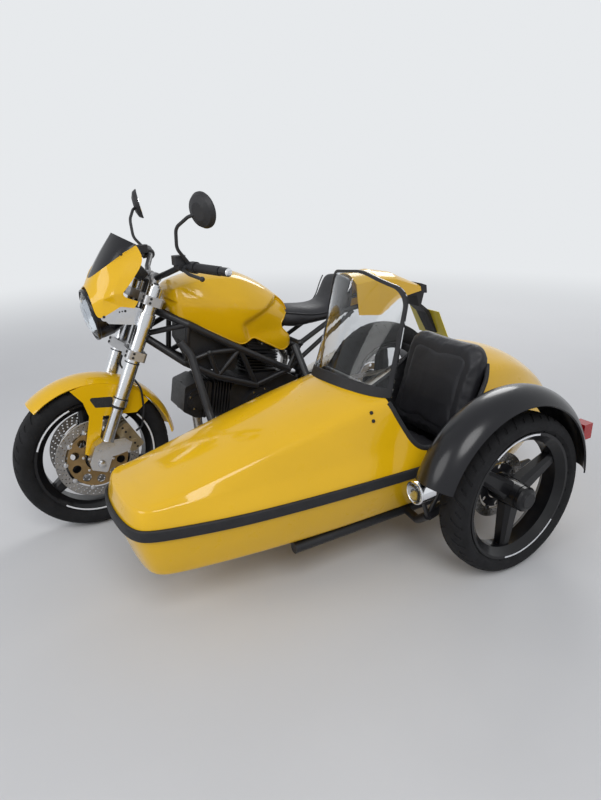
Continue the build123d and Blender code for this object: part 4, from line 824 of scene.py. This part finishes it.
def drilled_disc(name, wheel, y, outer, inner, carrier_outer, holes, arms, proud, carrier):
    """A brake rotor with rows of holes, on a carrier of another finish with bobbins between them."""
    x, wheel_y, radius, _, body = WHEELS[wheel]
    centre = (x, y, radius)
    half = ROTOR_THICK / 2
    band = [(inner, -half), (outer - 1, -half), (outer, 1 - half), (outer, half - 1), (outer - 1, half), (inner, half)]
    rotor = turned_piece(f"{name}_rotor", band, 96, (0, 1, 0), "disc_steel", body, centre, 30, closed=True)
    drills = bmesh.new()
    for row in range(3):
        ring = inner + (outer - inner) * (0.22 + 0.28 * row)
        for across, up in round_ring(ring, holes, row * 0.33):
            knob(drills, (across, -ROTOR_THICK, up), 3.2, 2 * ROTOR_THICK, sides=10, bevel=0.1)
    cut(rotor, end_piece(drills, "drills", "rubber", centre=centre), 30)

    hub = [(CARRIER_BORE, -3), (carrier_outer - 12, -3), (carrier_outer - 12, 3), (CARRIER_BORE, 3)]
    plate = turned_piece(f"{name}_carrier", hub, 64, (0, 1, 0), carrier, body, centre, 30, closed=True)
    windows = bmesh.new()
    for across, up in round_ring((CARRIER_BORE + carrier_outer) / 2, arms, 0.5):
        knob(windows, (across, -10, up), (carrier_outer - CARRIER_BORE) * 0.22, 20, sides=16, bevel=0.1)
    cut(plate, end_piece(windows, "windows", "rubber", centre=centre), 30)

    bm = bmesh.new()
    for across, up in round_ring(carrier_outer - 6, arms):
        for side in (1, -1):
            knob(bm, (across, side * 1, up), 9, 5.5 * proud, (0, side, 0), 20, 0.8)
            knob(bm, (across, side * 5 * proud, up), 4.5, 2.5 * proud, (0, side, 0), 12, 0.5)
    end_piece(bm, f"{name}_bobbins", "silver_alloy", body, centre, 30)
    bm = bmesh.new()
    side = 1 if y >= wheel_y else -1
    for across, up in round_ring(58, 6, 0.25):
        knob(bm, (across, side * 2.5, up), 5.5, 5, (0, side, 0), 6, 0.8)
    end_piece(bm, f"{name}_disc_bolts", "chrome", body, centre, 30)


def rim_tape(wheel, y, spans):
    """Thin reflective arcs stuck on the flat of a rim's flange."""
    x, wheel_y, radius, _, body = WHEELS[wheel]
    bm = bmesh.new()
    side = 1 if y >= wheel_y else -1
    for first, last in spans:
        arc = bmesh.new()
        start = radians(first)
        row = [arc.verts.new((r * cos(start), side * 0.5, r * sin(start))) for r in (221.5, 227.5)]
        edge = arc.edges.new(row)
        bmesh.ops.spin(arc, geom=row + [edge], cent=(0, 0, 0), axis=(0, -1, 0), angle=radians(last - first), steps=18)
        bmesh.ops.solidify(arc, geom=arc.faces[:], thickness=0.4)
        mesh = bpy.data.meshes.new("arc")
        arc.to_mesh(mesh)
        arc.free()
        bm.from_mesh(mesh)
        bpy.data.meshes.remove(mesh)
    end_piece(bm, f"{wheel}_rim_tape", "reflective_white", body, (x, y, radius), 30)


def make_wheels():
    for name, wheel in WHEELS.items():
        make_tyre(name, *wheel)
    for row in DISCS:
        drilled_disc(*row)
    for name, node in (("front_left_rotor", "front_discs"), ("rear_rotor", "rear_disc"),
                       ("sidecar_rotor", "sidecar_disc")):
        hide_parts(node)
    for row in RIM_TAPES:
        rim_tape(*row)


# Fuel tank: a creased shell with a knee recess at each side and a lip along its lower edge

TANK_ROWS = [
    # x, bottom half, z; widest half, z; shoulder half, z; crown z
    (1093, 40, 836, 60, 868, 46, 890, 895),
    (1078, 80, 812, 97, 868, 78, 916, 925),
    (1054, 94, 786, 117, 866, 93, 930, 943),
    (1000, 104, 738, 141, 856, 104, 942, 960),
    (930, 114, 690, 157, 842, 110, 949, 973),
    (860, 117, 645, 161, 826, 108, 945, 971),
    (800, 118, 630, 161, 812, 104, 937, 963),
    (745, 112, 614, 152, 797, 95, 913, 940),
    (690, 105, 590, 139, 780, 85, 884, 911),
    (640, 101, 568, 127, 758, 76, 850, 875),
    (600, 98, 556, 115, 738, 68, 818, 842),
    (556, 93, 552, 101, 714, 58, 786, 806),
]
TANK_EDGE = [
    (1104, 846), (1080, 828), (1012, 784), (960, 754), (845, 687), (826, 677), (812, 675), (798, 678), (766, 690),
    (750, 688), (699, 658), (642, 624), (626, 615), (614, 612), (602, 615), (562, 637), (558, 643), (588, 678),
    (610, 702), (618, 716), (616, 731), (596, 754), (566, 776),
]
TANK_BELOW = [(500, 760), (500, 400), (1140, 400), (1140, 846)]
TANK_TUNNEL = [(480, 500), (480, 764), (790, 772), (1000, 800), (1070, 830), (1130, 830), (1130, 500)]
TANK_TUNNEL_HALF = 62
RECESS_CORNER = (834, 768)
RECESS_TOP = (640, 850)
RECESS_FOOT = (800, 676)
RECESS_DEEP = 21
RECESS_TOP_SLOPE = 34
RECESS_FRONT_SLOPE = 36
RECESS_FROM = 50
RECESS_FADE = 0.7
RECESS_FADE_BELOW = 720


def smooth_step(value):
    share = max(0.0, min(1.0, value))
    return share * share * (3 - 2 * share)


def beside(start, end, x, z):
    """How far a point lies to the right of the way from the start to the end."""
    way_x, way_z = end[0] - start[0], end[1] - start[1]
    return ((x - start[0]) * -way_z + (z - start[1]) * way_x) / -sqrt(way_x * way_x + way_z * way_z)


def reach_along(plan, angle):
    """How far an outline round the origin reaches in one direction."""
    way = Vector((cos(angle), sin(angle)))
    reach = 1000.0
    for (ax, ay), (bx, by) in zip(plan, plan[1:] + plan[:1]):
        side = Vector((ay - by, bx - ax)).normalized()
        if way.dot(side) > 0.001:
            reach = min(reach, side.dot(Vector((ax, ay))) / way.dot(side))
    return reach


def yoke_cutter():
    """The room that the top yoke needs between its two limits."""
    back, reach = -31, 147
    plan = [(back, -30), (back, 30), (-17, reach), (72, reach), (72, -reach), (-17, -reach)]
    round_it = []
    for number in range(90):
        angle = radians(4 * number + 2)
        far = max(reach_along(plan, angle - radians(turned)) for turned in range(-STEER_LIMIT, STEER_LIMIT + 1, 2))
        round_it.append((far * cos(angle), far * sin(angle), -25))
    bm = bmesh.new()
    draw_out(bm, round_it, (0, 0, 50))
    lean = Matrix.Rotation(-STEER_LEAN, 3, "Y")
    return end_piece(bm, "cutter", "rubber", centre=on_fork(TOP_YOKE, -FORK_OFFSET), turn=lean)


def recess_depth(x, y, z):
    """The knee recess comes in from its top and front edges, and fades towards the tank's lower edge."""
    share = smooth_step(beside(RECESS_TOP, RECESS_CORNER, x, z) / RECESS_TOP_SLOPE)
    share *= smooth_step(beside(RECESS_CORNER, RECESS_FOOT, x, z) / RECESS_FRONT_SLOPE)
    fade = 1 - RECESS_FADE * smooth_step((RECESS_FADE_BELOW - z) / 70)
    share *= smooth_step((abs(y) - RECESS_FROM) / 20) * fade
    return share * RECESS_DEEP


def make_tank():
    rows = []
    for x, bottom, low, wide, middle, shoulder, high, crown in TANK_ROWS:
        rows.append([
            (x, 0, crown), (x, 0.45 * shoulder, crown - 0.16 * (crown - high)),
            (x, 0.86 * shoulder, high + 0.34 * (crown - high)), (x, shoulder, high - 1),
            (x, shoulder + 0.5 * (wide - shoulder), high - 0.3 * (high - middle)),
            (x, shoulder + 0.93 * (wide - shoulder), middle + 0.3 * (high - middle)),
            (x, wide, middle - 2), (x, 0.55 * wide + 0.45 * bottom, 0.5 * middle + 0.5 * low), (x, bottom, low),
            (x, 0, low - 4),
        ])
    bm = creased()
    skin(bm, rows)
    for number in range(len(TANK_ROWS) - 1):
        ends = [Vector(rows[number + step][3]) for step in (0, 1)]
        line = [edge for edge in bm.edges if all(min((vert.co - end).length for end in ends) < 0.1
                                                 for vert in edge.verts)]
        crease(bm, line, 0.45)
    mirrored(bm)
    bmesh.ops.holes_fill(bm, edges=open_edges(bm), sides=0)
    tank = end_piece(bm, "tank_shell", "yellow_paint", "chassis", hides=["fuel_tank"])
    subdivide(tank, 3)
    settle(tank)
    for vert in tank.data.vertices:
        x, y, z = (vert.co - BASE) * 1000
        vert.co.y -= (1 if y > 0 else -1) * recess_depth(x, y, z) / 1000
    tree = search_tree(tank)
    cut(tank, prism(TANK_EDGE + TANK_BELOW, "Y", -300, 300))
    cut(tank, prism(TANK_TUNNEL, "Y", -TANK_TUNNEL_HALF, TANK_TUNNEL_HALF))
    cut(tank, yoke_cutter())
    for name, side in (("left", 1), ("right", -1)):
        line = []
        for start, end in zip(TANK_EDGE[2:], TANK_EDGE[3:]):
            for share in (0, 0.5):
                x = start[0] + share * (end[0] - start[0])
                z = start[1] + share * (end[1] - start[1])
                hit = tree.ray_cast(at(x, side * 400, z + 2), Vector((0, -side, 0)))[0]
                if hit:
                    line.append((hit - BASE) * 1000 - Vector((0, side * 1, 0)))
        pipe(f"tank_lip_{name}", line, 3.4, "yellow_paint", "chassis", sides=2)
    cap = [(0, 8), (20, 8), (30, 6), (34, 3), (35, -6), (0, -6)]
    turned_piece("tank_cap", cap, 40, (0, 0, 1), "cast_alloy", "chassis", (925, 0, 971), 35)


# Fairing and its small screen, drawn from the middle of the lamp brackets' clamps

BRACKET_MIDDLE = (1195.7, 0, 824.2)
FAIRING_WALL = 0.003
FAIRING_POINTS = {
    # ahead, half width, height
    "lamp_side": (174, 104, 20), "lamp_shoulder": (182, 92, 80), "lamp_brow": (184, 56, 118),
    "lamp_top": (182, 0, 133), "screen_foot": (170, 0, 152), "screen_low": (153, 48, 172),
    "screen_mid": (104, 92, 214), "screen_high": (50, 107, 247), "screen_end": (6, 113, 273),
    "rear_top": (-16, 130, 224), "rear_mid": (21, 132, 175), "notch_top": (74, 127, 113),
    "notch_low": (78, 125, 97), "tongue_top": (25, 128, 76), "tongue_low": (41, 128, 53),
    "tongue_root": (88, 117, 62), "band_high": (32, 112, 226), "band_mid": (77, 114, 171),
    "band_low": (90, 117, 134), "band_foot": (98, 121, 109), "groove_tip": (149, 108, 94),
    "groove_roof": (122, 119, 102), "groove_floor": (122, 110, 82), "low_front": (141, 114, 36),
    "low_rear": (109, 119, 53), "side_low": (156, 88, 118), "side_mid": (123, 108, 126),
    "brow_low": (170, 46, 144), "brow_high": (125, 90, 160), "flare_low": (47, 130, 143),
}
FAIRING_PANELS = [
    "lamp_side lamp_shoulder groove_tip low_front", "low_front groove_tip groove_floor low_rear",
    "low_rear groove_floor tongue_root", "groove_tip groove_roof groove_floor",
    "groove_roof band_foot tongue_root groove_floor", "band_foot notch_top notch_low tongue_root",
    "tongue_root notch_low tongue_top tongue_low", "lamp_shoulder lamp_brow side_low groove_tip",
    "groove_tip side_low side_mid groove_roof", "groove_roof side_mid band_low band_foot",
    "band_foot band_low flare_low notch_top", "lamp_brow lamp_top brow_low side_low",
    "side_low brow_low brow_high side_mid", "side_mid brow_high band_mid band_low",
    "band_low band_mid rear_mid flare_low", "lamp_top screen_foot screen_low brow_low",
    "brow_low screen_low screen_mid brow_high", "brow_high screen_mid band_high band_mid",
    "band_mid band_high rear_top rear_mid", "screen_mid screen_high screen_end band_high",
    "band_high screen_end rear_top",
]
FAIRING_CREASES = [
    # panel corners along a fold, how sharp it is
    ("screen_end band_high band_mid band_low band_foot notch_top", 0.75),
    ("groove_tip groove_roof band_foot", 0.8),
    ("lamp_shoulder groove_tip", 0.3),
    ("groove_tip groove_floor tongue_root", 0.8),
    ("screen_foot screen_low screen_mid screen_high screen_end", 0.8),
    ("screen_end rear_top rear_mid", 0.5),
    ("notch_low tongue_top tongue_low tongue_root low_rear low_front lamp_side", 0.85),
]
SCREEN_ROWS = [
    # share of the way up, lift off the straight line
    (-0.1, 0), (0.5, 4), (1, 0),
]
SCREEN_TOP = [(64, 0, 312), (58, 38, 307), (44, 72, 297), (26, 96, 286), (8, 110, 275)]
SCREEN_FOOT = ["screen_foot", "screen_low", "screen_mid", "screen_high", "screen_end"]
FAIRING_SCREWS = [(150, 32, 112), (60, 244, 103)]
BRACKET_HOLES = [(69, 41, 4.5), (80, 41, 3), (90, 40, 3)]


def make_fairing():
    bm = creased()
    corners = {name: bm.verts.new(place) for name, place in FAIRING_POINTS.items()}
    for panel in FAIRING_PANELS:
        bm.faces.new([corners[name] for name in panel.split()])
    for line, amount in FAIRING_CREASES:
        names = line.split()
        for start, end in zip(names, names[1:]):
            crease(bm, [bm.edges.get((corners[start], corners[end]))], amount)
    mirrored(bm)
    shell = end_piece(bm, "fairing_shell", "yellow_paint", "steering", BRACKET_MIDDLE, hides=["nose_fairing"])
    walled(shell, 3, FAIRING_WALL, 50)

    rows = []
    for share, lift in SCREEN_ROWS:
        row = []
        for foot, top in zip(SCREEN_FOOT, SCREEN_TOP):
            place = Vector(FAIRING_POINTS[foot]).lerp(Vector(top), share)
            row.append(tuple(place + Vector((lift - 3, -3 if place.y else 0, lift))))
        rows.append(row)
    bm = creased()
    skin(bm, rows)
    crease(bm, open_edges(bm), 0.7)
    mirrored(bm)
    screen = end_piece(bm, "screen_shield", "black_gloss", "steering", BRACKET_MIDDLE, hides=["fly_screen"])
    walled(screen, 3, FAIRING_WALL, 50)

    def screws(bm):
        for ahead, height, half in FAIRING_SCREWS:
            knob(bm, (BRACKET_MIDDLE[0] + ahead, half, BRACKET_MIDDLE[2] + height), 5, 2.5, sides=20, bevel=1)

    def holes(bm):
        for ahead, height, radius in BRACKET_HOLES:
            place = (BRACKET_MIDDLE[0] + ahead, 99.6, BRACKET_MIDDLE[2] + height)
            knob(bm, place, radius, 0.8, sides=20, bevel=0.2)

    both(screws, "fairing_screws", "black_plastic", "steering")
    both(holes, "bracket_grommets", "rubber", "steering")


# Front end: lamp, brakes, fork clamps, mirrors and the mudguard's mesh

LAMP_CENTRE = (1351.7, 0, 850.2)
LAMP_LEAN = radians(10)
LAMP_PARTS = [
    # name, finish, steps round, smooth angle, closed, profile of (radius, ahead)
    ("reflector", "chrome", 64, 50, True, [(16, -88), (46, -76), (70, -52), (84, -16), (87.5, 11), (86, 11),
                                           (82, -16), (68, -50), (45, -73), (16, -85)]),
    ("bulb", "reflective_white", 24, 50, False, [(0, -30), (8, -32), (10, -40), (9, -70), (14, -74), (14, -84),
                                                 (0, -84)]),
    ("rim", "black_gloss", 80, 60, True, [(90, 12), (94, 12), (97, 14), (98, 20), (96, 25), (91, 26), (89.5, 23)]),
]
CALIPER_ANGLE = 151
CALIPER_OUT = 143
CALIPER_FACE = 89
BOSS_STEP = 31
BOSS_HIGH = 3
MIRROR_TOP = Vector((1040.3, 359.8, 1216))
MIRROR_WAY = Vector((-0.936, -0.302, 0.181))
MIRROR_FACE = 6.5
BAR_END = Vector((1002.7, 409.6, 1020))
GRIP_WAY = Vector((-0.265, 0.964, 0))
GRIP_PAST = 29
GUARD_WINDOW = [(1438, 554), (1350, 543), (1282, 487), (1417, 506)]
GUARD_SIDE = 69.5
GUARD_MESH_THICK = 1.2
FORK_SEALS = [
    # low, high, radius
    (224, 236, 25), (262, 266, 28.2), (405, 409, 28.2),
]


def make_headlight():
    lean = Matrix.Rotation(LAMP_LEAN, 3, "Y")
    for name, finish_name, steps, smooth, closed, profile in LAMP_PARTS:
        turned_piece(f"headlight_{name}", profile, steps, (1, 0, 0), finish_name, "steering", LAMP_CENTRE, smooth,
                     lean, closed)


def make_brakes():
    angle = radians(CALIPER_ANGLE)
    middle = FRONT_AXLE + Vector((cos(angle), 0, sin(angle))) * CALIPER_OUT
    along = Vector((-sin(angle), 0, cos(angle)))

    def bosses(bm):
        for step in (-BOSS_STEP, BOSS_STEP):
            place = middle + along * step
            knob(bm, (place.x, CALIPER_FACE, place.z), 18, 4, sides=28, bevel=1.5)

    def bolts(bm):
        for step in (-50, -BOSS_STEP, 0, BOSS_STEP, 50):
            place = middle + along * step
            face = CALIPER_FACE + (BOSS_HIGH if abs(step) == BOSS_STEP else 0)
            knob(bm, (place.x, face, place.z), 5, 4, bevel=0.8)

    both(bosses, "caliper_bosses", "caliper_gold", "steering")
    both(bolts, "caliper_bolts", "black_paint", "steering")


def make_fork_details():
    def clamps(bm):
        for height in (LOWER_YOKE, TOP_YOKE):
            for step in (-8, 8):
                knob(bm, on_fork(height + step, 36, 122), 5.5, 5, STEER_FORWARD, 6, 0.8)
                knob(bm, on_fork(height + step, 14, 138), 5.5, 4, bevel=0.8)
        for height in (10, 50):
            knob(bm, on_fork(height, 36, 66) + Vector((0, 5, 0)), 7, 3.5, bevel=0.8)
        knob(bm, on_fork(711, 0, FORK_HALF_TRACK), 9, 7, STEER_UP, 16, 1)

    def seals(bm):
        for low, high, radius in FORK_SEALS:
            ring = bmesh.ops.create_cone(bm, cap_ends=True, segments=40, radius1=radius, radius2=radius,
                                         depth=high - low)["verts"]
            bmesh.ops.rotate(bm, cent=(0, 0, 0), matrix=Matrix.Rotation(-STEER_LEAN, 3, "Y"), verts=ring)
            bmesh.ops.translate(bm, vec=on_fork((low + high) / 2, 0, FORK_HALF_TRACK), verts=ring)

    def hub_nuts(bm):
        knob(bm, FRONT_AXLE + Vector((0, 132, 0)), 15, 5, bevel=1)

    both(clamps, "clamp_bolts", "black_paint", "steering")
    both(seals, "fork_seals", "black_plastic", "steering")
    both(hub_nuts, "axle_nuts", "silver_alloy", "steering")


def make_mirrors():
    def glass(bm):
        knob(bm, MIRROR_TOP + MIRROR_WAY * MIRROR_FACE, 55, 1.6, MIRROR_WAY, 48, 0.5)

    def bar_ends(bm):
        knob(bm, BAR_END + GRIP_WAY * GRIP_PAST, 14.5, 4, GRIP_WAY, 28, 1.5)

    both(glass, "mirror_glass", "mirror_glass", "steering")
    both(bar_ends, "bar_end_caps", "chrome", "steering")


def make_guard_mesh():
    def panel(bm):
        draw_out(bm, [(x, GUARD_SIDE, z) for x, z in GUARD_WINDOW], (0, GUARD_MESH_THICK, 0))

    both(panel, "guard_mesh", "mesh_black", "steering")


# Engine covers, sidecar lamps and the small fittings on the hull

HULL_BOLTS = [(716, 598), (714, 572)]
COVER_RINGS = [
    # x, z, ring radius, y, count
    (736, 392, 68, 112, 8), (1013.8, 460.3, 38, 92, 4), (691.7, 685.8, 38, 92, 4), (612, 385, 50, 119, 3),
]


def make_engine_details():
    def cover_bolts(bm):
        for x, z, ring, y, count in COVER_RINGS:
            for across, up in round_ring(ring, count, 0.35):
                knob(bm, (x + across, y - 0.5, z + up), 4.5, 4.5, bevel=0.7)

    both(cover_bolts, "cover_bolts", "silver_alloy", "chassis")


def make_lamps_and_fittings(tree):
    lens = [(0, 8), (14, 7), (26, 3.5), (32, -1), (32, -3), (0, -3)]
    turned_piece("side_lamp_lens", lens, 40, (1, 0, 0), "lamp_lens", "chassis", (693, 1062, 392), 50)
    ring = [(32, 0), (37.5, 0), (38.5, 2), (37.5, 5), (34, 6), (32, 4)]
    turned_piece("side_lamp_ring", ring, 48, (1, 0, 0), "chrome", "chassis", (688, 1062, 392), 50, closed=True)
    bm = bmesh.new()
    for x, z in HULL_BOLTS:
        place = on_hull(tree, x, z, 1)
        knob(bm, place - Vector((0, SIDECAR_Y, 0)) - Vector((0, 1, 0)), 6.5, 5, (0, 0.94, 0.34), 6, 1)
    end_piece(bm, "hull_bolts", "black_paint", "chassis", HULL_MIDDLE, 35)


# Floor, backdrop and light

FLOOR_GREY = 0.62
BACKDROP = (0.80, 0.82, 0.84)
FLOOR_FADE = (2.2, 7.0)
SKY = (0.86, 0.90, 1.0)
SKY_STRENGTH = 0.42


def make_floor():
    mesh = bpy.data.meshes.new("floor")
    bm = bmesh.new()
    bmesh.ops.create_grid(bm, x_segments=1, y_segments=1, size=30)
    bm.to_mesh(mesh)
    bm.free()
    floor = new_object("floor", mesh)
    material, tree, surface, where = shader("floor")
    drift = noise(tree, where, 1.5, 5.0)
    stops = [(0.3, (FLOOR_GREY * 0.97,) * 3), (0.7, (FLOOR_GREY,) * 3)]
    tree.links.new(ramp(tree, drift, stops), surface.inputs["Base Color"])
    surface.inputs["Roughness"].default_value = 0.85
    far = new_node(tree, "VectorMath", {0: where}, operation="LENGTH")
    edges = {"From Min": FLOOR_FADE[0], "From Max": FLOOR_FADE[1]}
    fade = new_node(tree, "MapRange", {"Value": far.outputs["Value"]}, edges, interpolation_type="SMOOTHSTEP")
    glow = new_node(tree, "Emission", values={"Color": (*BACKDROP, 1)})
    show_mix(tree, "Material Output", fade.outputs["Result"], surface.outputs["BSDF"], glow.outputs["Emission"])
    mesh.materials.append(material)


def make_world():
    world = bpy.data.worlds.new("studio")
    world.use_nodes = True
    tree = world.node_tree
    light = tree.nodes["Background"]
    fill_in(light, {"Color": (*SKY, 1), "Strength": SKY_STRENGTH})
    backdrop = new_node(tree, "Background", values={"Color": (*BACKDROP, 1), "Strength": 1.0})
    path = new_node(tree, "LightPath")
    seen = path.outputs["Is Camera Ray"]
    for kind in ("Is Glossy Ray", "Is Transmission Ray"):
        seen = new_node(tree, "Math", {0: seen, 1: path.outputs[kind]}, operation="MAXIMUM").outputs["Value"]
    show_mix(tree, "World Output", seen, light.outputs["Background"], backdrop.outputs["Background"])
    bpy.context.scene.world = world


LAMPS = [
    # name, place in metres from the middle of the outfit, size, watts
    ("key", (1.6, 4.2, 4.6), 3.2, 155),
    ("fill", (4.6, 0.6, 3.0), 3.0, 70),
    ("back", (-3.6, -2.8, 3.6), 2.6, 95),
]
LAMPS_AIM = Vector((0, 0, 0.4))


def make_lamps():
    for name, place, size, watts in LAMPS:
        data = bpy.data.lights.new(name, "AREA")
        data.shape = "DISK"
        data.size = size
        data.energy = watts
        new_object(name, data).matrix_world = aimed(Vector(place), LAMPS_AIM - Vector(place))


make_camera()
dress_nodes()
hull_tree = make_hull()
make_cockpit_edge(hull_tree)
make_sidecar_seat()
make_rider_seat()
make_wheels()
make_tank()
make_fairing()
make_headlight()
make_brakes()
make_fork_details()
make_mirrors()
make_guard_mesh()
make_engine_details()
make_lamps_and_fittings(hull_tree)
make_floor()
make_world()
make_lamps()

bpy.context.scene.view_settings.view_transform = "Standard"
